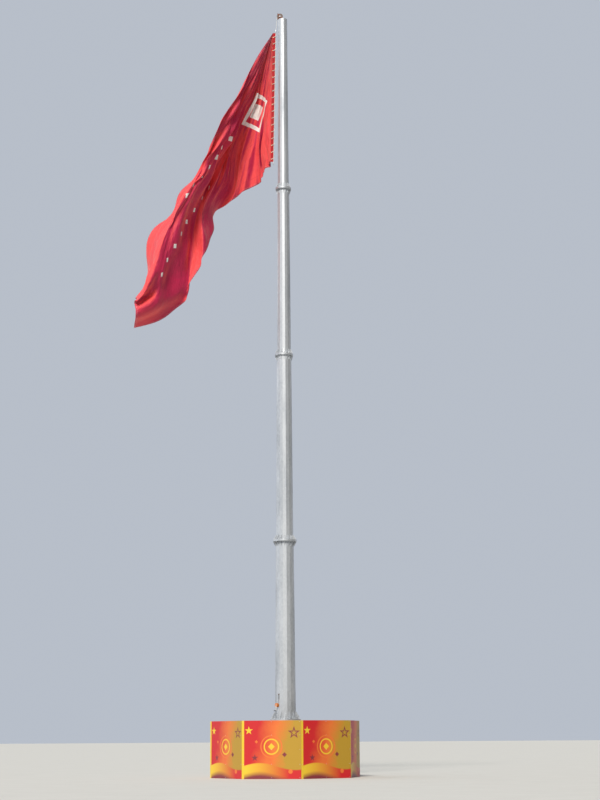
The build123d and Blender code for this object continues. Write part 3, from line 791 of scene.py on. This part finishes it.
# Fold lines of the cloth: their angles from the hoist in the flat cut, and at each reach from the
# corner in metres, how far in degrees each leans from the hoist as it hangs
FOLD_ANGLES = (0, 20, 27, 34, 44, 50, 56, 62, 70, 76, 90)
FOLD_LEANS = {
    0.0: (0, 4, 5.5, 8, 13, 13.5, 14, 16, 19, 22, 27),
    3.0: (0, 4.4, 6.5, 9, 14, 14.6, 15, 16.4, 18.6, 20.4, 25.5),
    4.5: (0, 3.8, 6, 10, 17, 17.9, 18.8, 19.6, 20.6, 21.4, 24.6),
    6.0: (0, 3, 4.6, 10.6, 16.8, 19, 20.4, 21, 21.8, 22.4, 24.6),
    7.5: (0, 2.8, 4, 10.9, 13.6, 17.2, 20.4, 21.4, 22.4, 23, 25),
    8.2: (0, 2.8, 4, 10.2, 16.2, 18.2, 20.2, 21.4, 22.8, 23.6, 25.4),
    8.9: (0, 2.8, 4, 10.8, 18.6, 18.8, 19.8, 21.6, 23.4, 24.4, 28.8),
    9.9: (0, 2.8, 4, 10.6, 15.8, 16.2, 18.2, 20.6, 23.2, 24.6, 27),
    10.6: (0, 2.8, 4, 10.6, 14, 14.4, 16.6, 20, 22.8, 24.6, 28.8),
    11.5: (0, 2.8, 4, 10.6, 14, 14.2, 15, 18.8, 22.2, 24.4, 29),
    13.0: (0, 2.8, 4, 10.6, 14, 14.2, 15, 16.2, 20.6, 23.4, 26.3),
    14.3: (0, 2.8, 4, 10.6, 14, 14.2, 15, 16.8, 20, 22.4, 24.4),
    15.7: (0, 2.8, 4, 10.6, 14, 14.2, 15, 20.4, 24.8, 25.6, 25.4),
}
# Side that each panel between two lines turns to, near the corner and far from it: towards the viewer
# above 0 and away below it, by the share of its slack that it takes up
UPPER_TURNS = (-0.35, -0.2, -0.1, -0.1, 0.6, -0.2, 0.8, 0.7, 0.5, 0.5)
LOWER_TURNS = (-0.4, -0.4, 0.3, -0.1, 0.8, 0.9, -0.3, 1, 0.3, -0.8)
UPPER_REACH, LOWER_REACH = 5.0, 9.5
# Width over which a fold is rounded, the reach up to which its angle stays the same, and the samples
# that folds are worked out on
FOLD_ROUND, ROUND_REACH = 0.8, 1.5
ANGLE_STEPS, REACH_STEPS = 540, 100
# Wrinkles: (angle between them in degrees, height in metres, reach where they are highest)
RAY_WRINKLES = [(8.0, 0.24, 4.5), (4.0, 0.17, 6.5), (6.0, 0.3, 12.0)]
# Length of a wrinkle along its ray, the noise's cells in one angle between wrinkles, and the share of
# the best reach over which they fade
RAY_LENGTH, RAY_CELLS, RAY_FADE = 2.2, 1.4, 0.6
# Crumples of the far end: width, height, width by length along the fly, the reach where they begin,
# and the span within which they come up to their height
CRUMPLE_SIZE, CRUMPLE_HEIGHT, CRUMPLE_SHAPE, CRUMPLE_START, CRUMPLE_SPAN = 1.2, 0.42, 0.7, 8.5, 5
# Fine wrinkles: width, height, width by length along the fly, and the reach by which they are full
FINE_SIZE, FINE_HEIGHT, FINE_SHAPE, FINE_REACH = 0.42, 0.02, 0.5, 2
# Distance from the hoist within which all of them fade
HOIST_FADE = 0.5
# Painted shade: its share on cloth that faces straight out, and how much a fold's turn away from the main
# light adds
PLAIN_SHADE, TURN_SHADE = 0.08, 2
# How much thicker the cloth is where it is hemmed
HEM_LAYERS = 1.6
# Hem, its row of stitches and the seams, and the soft edge of what is sewn or printed on
HEM_WIDTH, STITCH_INSET, STITCH_LENGTH = 60 * MM, 8 * MM, 14 * MM
SEAM_HALF, SEWN_SHADE = 15 * MM, 0.35
SOFT_EDGE = 12 * MM
# White devices sewn on the cloth: middle from the hoist and the upper edge, and half diagonals
LOZENGE_CENTRE = (2.25, 3.05, 0)
LOZENGE_RIM, LOZENGE_GAP, LOZENGE_CORE = 1.15, 0.88, 0.5
# Creases fan out in rays: metres of their pattern to a radian of the fan, and the length of one
CREASE_FAN, CREASE_LENGTH = 26, 1.6
# Spacing of the woven threads, drawn coarse
THREAD_STEP = 12 * MM
# Rows of small diamonds along the fly: distance from the upper edge, start, end, spacing and size
DIAMOND_ROWS = [(2.45, 4.4, 9.2, 0.66, 0.16), (4.1, 6.6, 13.0, 0.8, 0.13)]
# How firmly the cloth keeps its place as it settles, at its edges and inside, and for how long
RIM_HOLD, INNER_HOLD = 0.8, 0.35
SETTLE_FRAMES = 12
# Plain cloth settings: a light, soft weave that gives way to folds but hardly stretches
CLOTH_FEEL = {
    "quality": 6,
    "mass": 0.1,
    "tension_stiffness": 40,
    "compression_stiffness": 1,
    "shear_stiffness": 4,
    "bending_stiffness": 0.5,
    "tension_damping": 10,
    "compression_damping": 10,
    "shear_damping": 10,
    "bending_damping": 1,
    "air_damping": 1,
    "pin_stiffness": 2,
}


def smooth_rows(values, width):
    """Values averaged over a width of samples, with their ends carried on."""
    weights = np.hanning(width + 2)[1:-1]
    weights /= weights.sum()
    return np.convolve(np.pad(values, width // 2, mode="reflect", reflect_type="odd"), weights, mode="valid")


def fold_fans(reach_end):
    """Lean and swing of the cloth's rays from the corner, for a row of reaches and of angles."""
    reaches = np.linspace(0, reach_end, REACH_STEPS)
    angles = np.linspace(0, 90, ANGLE_STEPS + 1)
    step = angles[1]
    panel = np.clip(np.searchsorted(FOLD_ANGLES, angles, side="left"), 1, len(FOLD_ANGLES) - 1) - 1
    leans, swings = [], []
    for reach in reaches:
        lines = [np.interp(reach, list(FOLD_LEANS), column) for column in zip(*FOLD_LEANS.values())]
        share = np.clip((reach - UPPER_REACH) / (LOWER_REACH - UPPER_REACH), 0, 1)
        share = share * share * (3 - 2 * share)
        turns = np.array(UPPER_TURNS) * (1 - share) + np.array(LOWER_TURNS) * share
        lean = np.interp(angles, FOLD_ANGLES, lines)
        slope = np.clip(np.diff(lean, append=lean[-1]) / step, -1, 1)
        width = max(3, int(math.degrees(FOLD_ROUND / max(reach, ROUND_REACH)) / step) | 1)
        lean = smooth_rows(lean, width)
        turn = smooth_rows(turns[panel] * np.sqrt(1 - slope**2), width)
        leans.append(lean - lean[0])
        swings.append(np.concatenate([[0], np.cumsum((turn[1:] + turn[:-1]) / 2 * step)]))
    leans, swings = [np.apply_along_axis(smooth_rows, 0, np.array(t), 9) for t in (leans, swings)]
    return reaches, angles, np.radians(leans), np.radians(swings)


def grid_look_up(table, row, column):
    """Values of a table between its rows and columns."""
    i = np.clip(row.astype(int), 0, table.shape[0] - 2)
    k = np.clip(column.astype(int), 0, table.shape[1] - 2)
    down, across = row - i, column - k
    top = table[i, k] * (1 - across) + table[i, k + 1] * across
    low = table[i + 1, k] * (1 - across) + table[i + 1, k + 1] * across
    return top * (1 - down) + low * down


def hanging_cloth(along, down):
    """Where each point of the cut hangs, for its distances from the hoist and from the upper edge."""
    reaches, angles, leans, swings = fold_fans(math.hypot(along.max(), flag_hoist))
    reach = np.hypot(along, down)
    row, column = reach / reaches[1], np.degrees(np.arctan2(along, down)) / angles[1]
    lean, swing = [grid_look_up(table, row, column)[..., None] for table in (leans, swings)]
    fall = np.cos(lean) * np.array(hoist_direction) + np.sin(lean) * np.array(left_direction)
    ray = np.cos(swing) * fall - np.sin(swing) * np.array((0, 1, 0))
    return np.array(flag_corner) + reach[..., None] * ray


def grid_normals(places):
    """Unit normals of a grid of points."""
    normals = np.cross(np.gradient(places, axis=0), np.gradient(places, axis=1))
    return normals / np.maximum(np.linalg.norm(normals, axis=2, keepdims=True), 1e-9)


def wrinkle_heights(along, down):
    """How far wrinkles lift each point of the cloth off its smooth fall.

    Each kind takes its own layer of the noise, by the last number of its spot.
    """
    heights = np.zeros_like(along)
    for index in np.ndindex(heights.shape):
        x, y = along[index], down[index]
        r, a = math.hypot(x, y), math.degrees(math.atan2(x, y))
        for number, (spacing, height, best) in enumerate(RAY_WRINKLES):
            level = math.exp(-((r - best) / (RAY_FADE * best)) ** 2)
            spot = Vector((a / spacing * RAY_CELLS, r / RAY_LENGTH, number * 9.1))
            heights[index] += height * level * noise.noise(spot)
        far = min(1, max(0, (r - CRUMPLE_START) / CRUMPLE_SPAN))
        spot = Vector((x / CRUMPLE_SIZE * CRUMPLE_SHAPE, y / CRUMPLE_SIZE, 3.7))
        heights[index] += CRUMPLE_HEIGHT * far * noise.noise(spot)
        spot = Vector((x / FINE_SIZE * FINE_SHAPE, y / FINE_SIZE, 8.2))
        heights[index] += FINE_HEIGHT * noise.noise(spot) * min(1, r / FINE_REACH)
    return heights * np.clip(along / HOIST_FADE, 0, 1)


def painted_shade_share(places):
    """Share of painted shade at each point of the cloth, 0 to 1: more where a fold turns it to face right,
    away from the main light.
    """
    normals = grid_normals(places)
    return np.clip(PLAIN_SHADE - TURN_SHADE * normals[..., 0] * normals[..., 1], 0, 1)


def diamond_reach(tree, place, centre):
    """How far a place lies from a centre, as the sum of its offsets: even along a diamond's sides."""
    offset = add_node(tree, "VectorMath", (place, centre), operation="SUBTRACT")
    offset = add_node(tree, "VectorMath", (offset,), operation="ABSOLUTE")
    return add_node(tree, "VectorMath", (offset, (1, 1, 0)), "Value", operation="DOT_PRODUCT")


# Inner corners of a regular five-pointed star, as a share of how far its points reach
STAR_INNER = 0.382


def star_mask(tree, place, centre, outer):
    """1 inside a plain five-pointed star about a centre, one point upwards."""
    inner = outer * STAR_INNER
    tenth = math.pi / 5
    offset = add_node(tree, "VectorMath", (place, centre), operation="SUBTRACT")
    reach = add_node(tree, "VectorMath", (offset,), "Value", operation="LENGTH")
    across, up = [add_node(tree, "SeparateXYZ", (offset,), axis) for axis in (0, 1)]
    angle = add_node(tree, ("PINGPONG", ("ARCTAN2", across, up), tenth))
    rise = ("MULTIPLY", ("SINE", angle), outer)
    fall = ("MULTIPLY", ("SINE", ("SUBTRACT", tenth, angle)), inner)
    edge = ("DIVIDE", outer * inner * math.sin(tenth), ("ADD", rise, fall))
    return add_node(tree, "MapRange", (("SUBTRACT", reach, edge), -SOFT_EDGE, SOFT_EDGE, 1, 0))


def flag_devices(tree, cut, along, down):
    """White lozenge in a lozenge-shaped rim near the hoist, and rows of small diamonds along the fly."""
    reach = diamond_reach(tree, cut, LOZENGE_CENTRE)
    core, rim = [
        add_node(tree, "MapRange", (reach, size - SOFT_EDGE, size + SOFT_EDGE, 1, 0))
        for size in (LOZENGE_CORE, LOZENGE_RIM)
    ]
    gap = add_node(tree, "MapRange", (reach, LOZENGE_GAP, LOZENGE_GAP + 20 * MM))
    mask = ("MAXIMUM", core, ("MULTIPLY", rim, gap))
    for level, start, end, spacing, size in DIAMOND_ROWS:
        off_along = ("SUBTRACT", spacing / 2, ("PINGPONG", along, spacing / 2))
        off_row = ("ADD", off_along, ("ABSOLUTE", ("SUBTRACT", down, level)))
        diamond = add_node(tree, "MapRange", (off_row, size - SOFT_EDGE, size + SOFT_EDGE, 1, 0))
        begun = add_node(tree, "MapRange", (along, start, start + 10 * MM))
        over = add_node(tree, "MapRange", (along, end, end + 10 * MM, 1, 0))
        mask = ("MAXIMUM", mask, ("MULTIPLY", diamond, ("MULTIPLY", begun, over)))
    return mask


def polyester_cloth():
    """Woven polyester flag cloth: thin and bright, with a soft sheen.

    The eye sees coral where the sun lies on it, and crimson in the folds, deepened by painted shade
    where the cloth turns away from the main light, with white devices sewn on, and fine creases that
    fan out from the corner it hangs by. The weave's 0.5 mm threads are drawn 12 mm apart so that they show
    up close.
    """
    s = settings("flag")
    material, tree = new_material("woven_polyester")
    cut = add_node(tree, "UVMap", uv_map="cut")
    along, down = [add_node(tree, "SeparateXYZ", (cut,), axis) for axis in (0, 1)]
    # Painted shade: the deeper red is mixed in where the cloth faces away from the main light, with cloudy
    # patches of tone
    doubled = add_node(tree, "Attribute", out="Fac", attribute_name="doubled")
    shade_share = ("ADD", doubled, patches(tree, cut, 1.8, 6, (0.38, 0.68), (-0.1, 0.25)))
    shade_share = add_node(tree, "MapRange", (shade_share, 0, 1))
    tint = add_node(tree, "Mix", {0: shade_share, 6: s.cloth_colour, 7: s.cloth_shade}, **COLOURS)
    seam_distance = ("PINGPONG", down, s.seam_spacing / 2)
    seams = add_node(tree, "MapRange", (seam_distance, SEAM_HALF, SEAM_HALF - 3 * MM))
    hem = ("MINIMUM", ("MINIMUM", down, ("SUBTRACT", flag_hoist, down)), ("SUBTRACT", s.fly, along))
    hem = add_node(tree, hem)
    hem_band = add_node(tree, "MapRange", (hem, HEM_WIDTH - 1 * MM, HEM_WIDTH + 1 * MM, 1, 0))
    sewn = add_node(tree, ("MAXIMUM", seams, hem_band))
    tint = add_node(tree, "Mix", {0: ("MULTIPLY", sewn, SEWN_SHADE), 6: tint, 7: s.cloth_shade}, **COLOURS)
    off_line = ("ABSOLUTE", ("SUBTRACT", hem, HEM_WIDTH - STITCH_INSET))
    line = add_node(tree, "MapRange", (off_line, 1.5 * MM, 2.5 * MM, 1, 0))
    stitch = ("FRACT", ("DIVIDE", ("ADD", along, down), STITCH_LENGTH))
    stitches = ("MULTIPLY", line, add_node(tree, "MapRange", (stitch, 0.6, 0.7, 1, 0)))
    tint = add_node(tree, "Mix", {0: stitches, 6: tint, 7: s.device_colour}, **COLOURS)
    devices = flag_devices(tree, cut, along, down)
    tint = add_node(tree, "Mix", {0: devices, 6: tint, 7: s.device_colour}, **COLOURS)
    reach = add_node(tree, "VectorMath", (cut,), "Value", operation="LENGTH")
    fan = ("MULTIPLY", ("ARCTAN2", along, down), CREASE_FAN)
    polar = add_node(tree, "CombineXYZ", (fan, reach))
    inputs = {"Vector": polar, "Scale": 1 / CREASE_LENGTH, "Detail": 4, "Roughness": 0.6}
    creases = ("MULTIPLY", add_node(tree, "TexNoise", inputs), s.crease_depth / MM)
    threads = [("SINE", ("MULTIPLY", way, 2 * math.pi / THREAD_STEP)) for way in (along, down)]
    height = ("ADD", ("ADD", ("MULTIPLY", *threads), sewn), creases)
    bump = add_node(tree, "Bump", {"Height": height, "Distance": 1 * MM, "Strength": 1})
    sheen = {"Sheen Weight": 0.25, "Sheen Roughness": 0.3, "Sheen Tint": (1, 0.62, 0.55)}
    return finished(material, {"Base Color": tint, "Roughness": 0.6, "Normal": bump, **sheen})


def relaxed_cloth(places, flat_places, quads):
    """The grid after a short cloth simulation that settles its wrinkles, held near where it hangs."""
    rows, columns = places.shape[:2]
    cloth = new_object("cloth_start", places.reshape(-1, 3).tolist(), quads)
    cloth.shape_key_add(name="Basis")
    flat_key = cloth.shape_key_add(name="flat")
    flat_key.data.foreach_set("co", flat_places.reshape(-1).astype(np.float32))
    group = cloth.vertex_groups.new(name="held")
    for i in range(rows):
        for k in range(columns):
            rim = i == rows - 1 or k in (0, columns - 1)
            group.add([i * columns + k], 1.0 if i == 0 else (RIM_HOLD if rim else INNER_HOLD), "REPLACE")
    modifier = cloth.modifiers.new("cloth", "CLOTH")
    modifier.settings.rest_shape_key = flat_key
    modifier.settings.vertex_group_mass = "held"
    for key, value in CLOTH_FEEL.items():
        setattr(modifier.settings, key, value)
    modifier.collision_settings.use_collision = False
    modifier.point_cache.frame_start = 1
    modifier.point_cache.frame_end = SETTLE_FRAMES
    scene = bpy.context.scene
    for number in range(1, SETTLE_FRAMES + 1):
        scene.frame_set(number)
    settled = cloth.evaluated_get(bpy.context.evaluated_depsgraph_get())
    co = np.array([v.co for v in settled.data.vertices]).reshape(rows, columns, 3)
    bpy.data.objects.remove(cloth)
    scene.frame_set(1)
    return co


class FLAGPOLE_OT_flag(bpy.types.Operator):
    """Flag of sewn polyester that hangs from its upper corner in long folds"""

    bl_idname = "flagpole.flag"
    bl_label = "Flag"

    def execute(self, context):
        s = settings("flag")
        rows, columns = int(s.fly / s.spacing) + 1, int(flag_hoist / s.spacing) + 1
        lines = np.linspace(0, s.fly, rows), np.linspace(0, flag_hoist, columns)
        along, down = np.meshgrid(*lines, indexing="ij")
        order = np.arange(rows * columns).reshape(rows, columns)
        quads = np.stack([order[:-1, :-1], order[1:, :-1], order[1:, 1:], order[:-1, 1:]], axis=-1)
        quads = quads.reshape(-1, 4)
        places = hanging_cloth(along, down)
        places = places + grid_normals(places) * wrinkle_heights(along, down)[..., None]
        flat_places = np.stack([-along, np.zeros_like(along), -down], axis=-1)
        places = relaxed_cloth(places, flat_places, quads[:, [0, 3, 2, 1]].tolist())
        rim = np.minimum(np.minimum(down, flag_hoist - down), s.fly - along)
        half = s.thickness / 2 * np.where(rim < HEM_WIDTH, HEM_LAYERS, 1.0)[..., None]
        offset = grid_normals(places) * half
        points = np.concatenate([(places + offset).reshape(-1, 3), (places - offset).reshape(-1, 3)])
        faces = quads.tolist() + (quads[:, ::-1] + rows * columns).tolist()
        loop = [*order[:, 0], *order[-1, 1:], *order[-2::-1, -1], *order[0, -2:0:-1]]
        for a, b in zip(loop, loop[1:] + loop[:1]):
            faces.append([int(n) for n in (b, a, a + rows * columns, b + rows * columns)])
        piece = new_object("flag_cloth", points.tolist(), faces, polyester_cloth())
        mesh = piece.data
        cut = mesh.uv_layers.new(name="cut")
        corners = np.zeros(len(mesh.loops), np.int32)
        mesh.loops.foreach_get("vertex_index", corners)
        flat = np.tile(np.stack([along.ravel(), down.ravel()], axis=-1), (2, 1))
        cut.data.foreach_set("uv", flat[corners].astype(np.float32).ravel())
        # Painted shade: stored on the points from how each faces the main light, for the cloth's colour
        doubled = mesh.attributes.new("doubled", "FLOAT", "POINT")
        doubled.data.foreach_set("value", np.tile(painted_shade_share(places).ravel(), 2).astype(np.float32))
        mesh.shade_smooth()
        mesh.update()
        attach(piece, "truck")
        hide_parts("flag")
        return {"FINISHED"}


# Heading: eyelets and the lashing that laces it to the hoist line
LASHING_COUNT = 19
EYELET_EDGE, EYELET_DROP = 26 * MM, 48 * MM
EYELET_RADIUS, EYELET_RIM = 19 * MM, 5 * MM
LINE_RADIUS = 8 * MM


def smooth_route(route, parts):
    """Points along a smooth line through a rope's turning points."""
    made = []
    last = len(route) - 1
    for i in range(last):
        a, b = route[max(i - 1, 0)], route[i]
        c, d = route[i + 1], route[min(i + 2, last)]
        for t in (k / parts for k in range(parts)):
            bend = (2 * a - 5 * b + 4 * c - d) * t**2 + (3 * b - a - 3 * c + d) * t**3
            made.append(0.5 * (2 * b + (c - a) * t + bend))
    return made + [route[last]]


class FLAGPOLE_OT_heading(bpy.types.Operator):
    """Canvas heading with brass eyelets, and the rope that laces it to the hoist line"""

    bl_idname = "flagpole.heading"
    bl_label = "Heading and lashing"

    def execute(self, context):
        s = settings("rope")
        paint(canvas_webbing(), "flag_heading")
        rope = laid_rope("pale_laid_rope", s.halyard_colour, "#8F8A7E")
        paint(rope, "halyard_over_truck", "hoist_line")
        pitch = flag_hoist / LASHING_COUNT
        eyelet_left = HEADING_NEAR + HEADING_WIDTH - EYELET_EDGE
        rope_radius = s.lashing_diameter / 2
        line_out = LINE_RADIUS + rope_radius
        face_out = line_out + 3 * MM
        eyelets = Pile()
        rounds = [2 * math.pi * k / 24 for k in range(24)]
        circle = [(EYELET_RADIUS * math.cos(a), EYELET_RADIUS * math.sin(a), 0) for a in rounds]
        rim = tube(circle, EYELET_RIM, 8, True)
        route = []
        for k in range(LASHING_COUNT):
            level = HEADING_START + pitch * (k + 0.5)
            eyelet_level = level + EYELET_DROP
            for forward in (LINE_RADIUS, -LINE_RADIUS):
                place = moved(*hoist_place(eyelet_level, eyelet_left, forward))
                eyelets.add(rim, place @ turned(math.pi / 2, "X"))
            # round the line from behind, over the front to the eyelet, and back through it
            lap = (
                (level - 0.3 * pitch, -0.3 * line_out, -line_out),
                (level - 0.12 * pitch, -line_out, 0),
                (level - 0.02 * pitch, 0, line_out),
                (level + EYELET_DROP / 2, eyelet_left / 2, face_out),
                (eyelet_level, eyelet_left - 12 * MM, face_out),
                (eyelet_level, eyelet_left + 2 * MM, 0),
                (eyelet_level, eyelet_left - 12 * MM, -face_out),
                (eyelet_level + 0.25 * pitch, eyelet_left / 2, -face_out),
            )
            route += [hoist_place(*turn) for turn in lap]
        eyelets.make("heading_eyelets", rolled_brass(), "truck")
        lashing = Pile()
        lashing.add(tube(smooth_route(route, 6), rope_radius, 8))
        piece = lashing.make("lashing_rope", rope, "truck")
        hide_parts("flag_lashings")
        return {"FINISHED"}


# Winch, turned about the mast's axis from the front to the left
WINCH_AZIMUTH = math.radians(45)
ROPE_TURNS, TURN_STEPS = 3, 32
# Turns of rope lie a little more than their width apart
TURN_PITCH = 1.04


class FLAGPOLE_OT_winch(bpy.types.Operator):
    """Enamelled hand winch, with its rope up into the mast"""

    bl_idname = "flagpole.winch"
    bl_label = "Winch"

    def execute(self, context):
        s = settings("winch")
        rope = settings("rope")
        paint(enamel("orange_gloss_enamel", s.drum_enamel, "#3B2A20"), "winch_drum")
        paint(enamel("white_gloss_enamel", s.crank_enamel, "#5B5A57"), "winch_crank")
        paint(moulded_polymer("grip_rubber", s.grip_colour, 0.6), "winch_grip")
        dark_rope = laid_rope("dark_laid_rope", rope.winch_rope_colour, "#2B2019")
        paint(dark_rope, "halyard_fall")
        diameter = rope.winch_rope_diameter
        low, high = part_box("winch_rope_turns")
        middle = (low + high) / 2
        radius = (high.z - low.z - diameter) / 2
        path = []
        for k in range(ROPE_TURNS * TURN_STEPS + 1):
            angle = 2 * math.pi * k / TURN_STEPS
            out = math.hypot(middle.x, middle.y) + (k / TURN_STEPS - ROPE_TURNS / 2) * diameter * TURN_PITCH
            path.append((radius * math.cos(angle), -out, middle.z + radius * math.sin(angle)))
        coil = Pile()
        coil.add(tube(path, diameter / 2, 12), turned(-WINCH_AZIMUTH, "Z"))
        piece = coil.make("winch_rope_coil", dark_rope, "winch")
        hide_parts("winch_rope_turns")
        return {"FINISHED"}


# Hoarding
PANEL_NAMES = ["front", "front_left", "left", "back_left", "back", "back_right", "right", "front_right"]
# Motifs of the print: across the board, up, size, form and colour
PRINT_MOTIFS = [
    (2.2, 1.86, 0.27, "star", "maroon"),
    # the small star inside it is drawn in the painted shadow's dull yellow
    (2.2, 1.86, 0.14, "star", "ochre"),
    (0.3, 1.95, 0.18, "star", "yellow"),
    (1.25, 1.3, 0.44, "ring", "orange"),
    (1.25, 1.3, 0.3, "ring", "yellow"),
    (1.25, 1.3, 0.14, "diamond", "yellow"),
    (0.62, 1.5, 0.07, "diamond", "orange"),
    (1.8, 0.98, 0.1, "diamond", "maroon"),
    (0.55, 0.85, 0.15, "star", "maroon"),
    (2.05, 0.3, 0.09, "disc", "orange"),
]
PRINT_EDGE, RING_HALF = 6 * MM, 25 * MM
# The printed skin stops short of the board's edges, and screws hold it near them
SKIN_INSET = 2 * MM
SCREW_SIDE_INSET, SCREW_END_INSET = 60 * MM, 50 * MM


def printed_vinyl():
    """Printed vinyl on board: a smooth satin film with broad washes of warm colour.

    The eye sees red that blends into orange and yellow, a painted shadow in dull yellow over the far
    side of each board, a dark band at the foot, and plain stars, discs, rings and diamonds scattered
    over it.
    """
    s = settings("hoarding")
    material, tree = new_material("printed_vinyl")
    board = add_node(tree, "UVMap", uv_map="board")
    across, up = [add_node(tree, "SeparateXYZ", (board,), axis) for axis in (0, 1)]
    inputs = {"Vector": board, "Scale": 1 / (900 * MM), "Detail": 4, "Roughness": 0.55}
    wash = add_node(tree, "TexNoise", inputs)
    sweep = add_node(tree, ("ADD", ("SUBTRACT", across, ("MULTIPLY", up, 0.2)), wash))
    wave = ("MULTIPLY", ("SINE", ("MULTIPLY", across, 2.1)), 0.14)
    foot = add_node(tree, ("SUBTRACT", up, wave))
    low_share = add_node(tree, "MapRange", (across, 0.2, 2.0))
    low_tint = add_node(tree, "Mix", {0: low_share, 6: s.yellow, 7: s.red}, **COLOURS)
    tint = s.red
    # Each wash: what it follows, the values between which it comes in, and its colour
    for value, start, end, shade in (
        (sweep, 0.75, 1.6, s.orange),
        # painted shadow: dull yellow over the far side of each board
        (sweep, 1.55, 2.2, s.ochre),
        (foot, 0.52, 0.48, low_tint),
        (foot, 0.18, -0.02, s.maroon),
        (across, 0.106, 0.094, s.yellow),
    ):
        share = add_node(tree, "MapRange", (value, start, end))
        tint = add_node(tree, "Mix", {0: share, 6: tint, 7: shade}, **COLOURS)
    for x, z, size, kind, shade in PRINT_MOTIFS:
        if kind == "star":
            share = star_mask(tree, board, (x, z, 0), size)
        else:
            if kind == "diamond":
                reach = diamond_reach(tree, board, (x, z, 0))
            else:
                reach = add_node(tree, "VectorMath", (board, (x, z, 0)), "Value", operation="DISTANCE")
            if kind == "ring":
                reach, size = ("ABSOLUTE", ("SUBTRACT", reach, size)), RING_HALF
            share = add_node(tree, "MapRange", (reach, size - PRINT_EDGE, size + PRINT_EDGE, 1, 0))
        tint = add_node(tree, "Mix", {0: share, 6: tint, 7: getattr(s, shade)}, **COLOURS)
    inputs = {"Vector": board, "Scale": 1 / (500 * MM), "Detail": 2, "Roughness": 0.55}
    waves = add_node(tree, "TexNoise", inputs)
    bump = add_node(tree, "Bump", {"Height": waves, "Distance": 3 * MM, "Strength": 0.5})
    film = {"Roughness": 0.5, "Coat Weight": 0.1, "Coat Roughness": 0.3}
    return finished(material, {"Base Color": tint, "Normal": bump, **film})


def board_outline(name):
    """Half the width of a board's outer face, and its distance from the mast's axis."""
    places = [turned(HOARDING_TURN, "Z") @ v.co for v in nodes[name].data.vertices]
    outer = min(p.y for p in places)
    return max(p.x for p in places if p.y < outer + 1 * MM), -outer


class FLAGPOLE_OT_hoarding(bpy.types.Operator):
    """Printed skins, screws and frames of the octagonal hoarding"""

    bl_idname = "flagpole.hoarding"
    bl_label = "Hoarding"

    def execute(self, context):
        s = settings("hoarding")
        paint(plywood(), *[f"hoarding_panel_{n}" for n in PANEL_NAMES])
        paint(painted_tube(), "hoarding_frames")
        vinyl = printed_vinyl()
        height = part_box("hoarding_panel_front")[1].z
        half, apothem = board_outline("hoarding_panel_front")
        outer = -apothem - s.skin_thickness
        side, top = half - SKIN_INSET, height - SKIN_INSET
        rim = [(-side, SKIN_INSET), (side, SKIN_INSET), (side, top), (-side, top)]
        faces = [(0, 1, 2, 3), (7, 6, 5, 4), (0, 4, 5, 1), (1, 5, 6, 2), (2, 6, 7, 3), (3, 7, 4, 0)]
        screws = Pile()
        dome = lathe([(11 * MM, 0), (11 * MM, 1.5 * MM), (7 * MM, 4 * MM), (2 * MM, 5 * MM)], 12)
        screw_levels = (SCREW_END_INSET, height / 4, height / 2, 3 * height / 4, height - SCREW_END_INSET)
        for k, name in enumerate(PANEL_NAMES):
            turn = turned(-HOARDING_TURN - k * 2 * math.pi / len(PANEL_NAMES), "Z")
            points = [turn @ Vector((x, y, z)) for y in (outer, -apothem) for x, z in rim]
            skin = new_object(f"hoarding_print_{name}", points, faces, vinyl)
            layer = skin.data.uv_layers.new(name="board")
            for loop in skin.data.loops:
                x, z = rim[loop.vertex_index % 4]
                layer.data[loop.index].uv = (x + half, z)
            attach(skin, "root")
            for x in (SCREW_SIDE_INSET - half, 0.0, half - SCREW_SIDE_INSET):
                for level in screw_levels:
                    screws.add(dome, turn @ moved(x, outer, level) @ turned(math.pi / 2, "X"))
        screws.make("hoarding_screws", zinc_coat(), "root")
        return {"FINISHED"}


OPERATORS = [
    FLAGPOLE_OT_stage,
    FLAGPOLE_OT_foundation,
    FLAGPOLE_OT_mast,
    FLAGPOLE_OT_bolts,
    FLAGPOLE_OT_truck,
    FLAGPOLE_OT_flag,
    FLAGPOLE_OT_heading,
    FLAGPOLE_OT_winch,
    FLAGPOLE_OT_hoarding,
]


class FLAGPOLE_PT_parts(bpy.types.Panel):
    """Lists the flagpole's groups of pieces in the sidebar"""

    bl_label = "Flagpole"
    bl_space_type = "VIEW_3D"
    bl_region_type = "UI"
    bl_category = "Flagpole"

    def draw(self, context):
        for operator in OPERATORS:
            self.layout.operator(operator.bl_idname)
        for group, kind in SETTING_GROUPS.items():
            column = self.layout.column()
            for key in kind.__annotations__:
                column.prop(getattr(context.scene, group), key)


def register():
    for kind in [*SETTING_GROUPS.values(), *OPERATORS, FLAGPOLE_PT_parts]:
        bpy.utils.register_class(kind)
    for group, kind in SETTING_GROUPS.items():
        setattr(bpy.types.Scene, group, PointerProperty(type=kind))


def unregister():
    for group in SETTING_GROUPS:
        delattr(bpy.types.Scene, group)
    for kind in [FLAGPOLE_PT_parts, *OPERATORS, *SETTING_GROUPS.values()]:
        bpy.utils.unregister_class(kind)


def main():
    """Makes every piece."""
    register()
    bpy.ops.flagpole.stage()
    bpy.ops.flagpole.foundation()
    bpy.ops.flagpole.mast()
    bpy.ops.flagpole.bolts()
    bpy.ops.flagpole.truck()
    bpy.ops.flagpole.flag()
    bpy.ops.flagpole.heading()
    bpy.ops.flagpole.winch()
    bpy.ops.flagpole.hoarding()


if __name__ == "__main__":
    main()
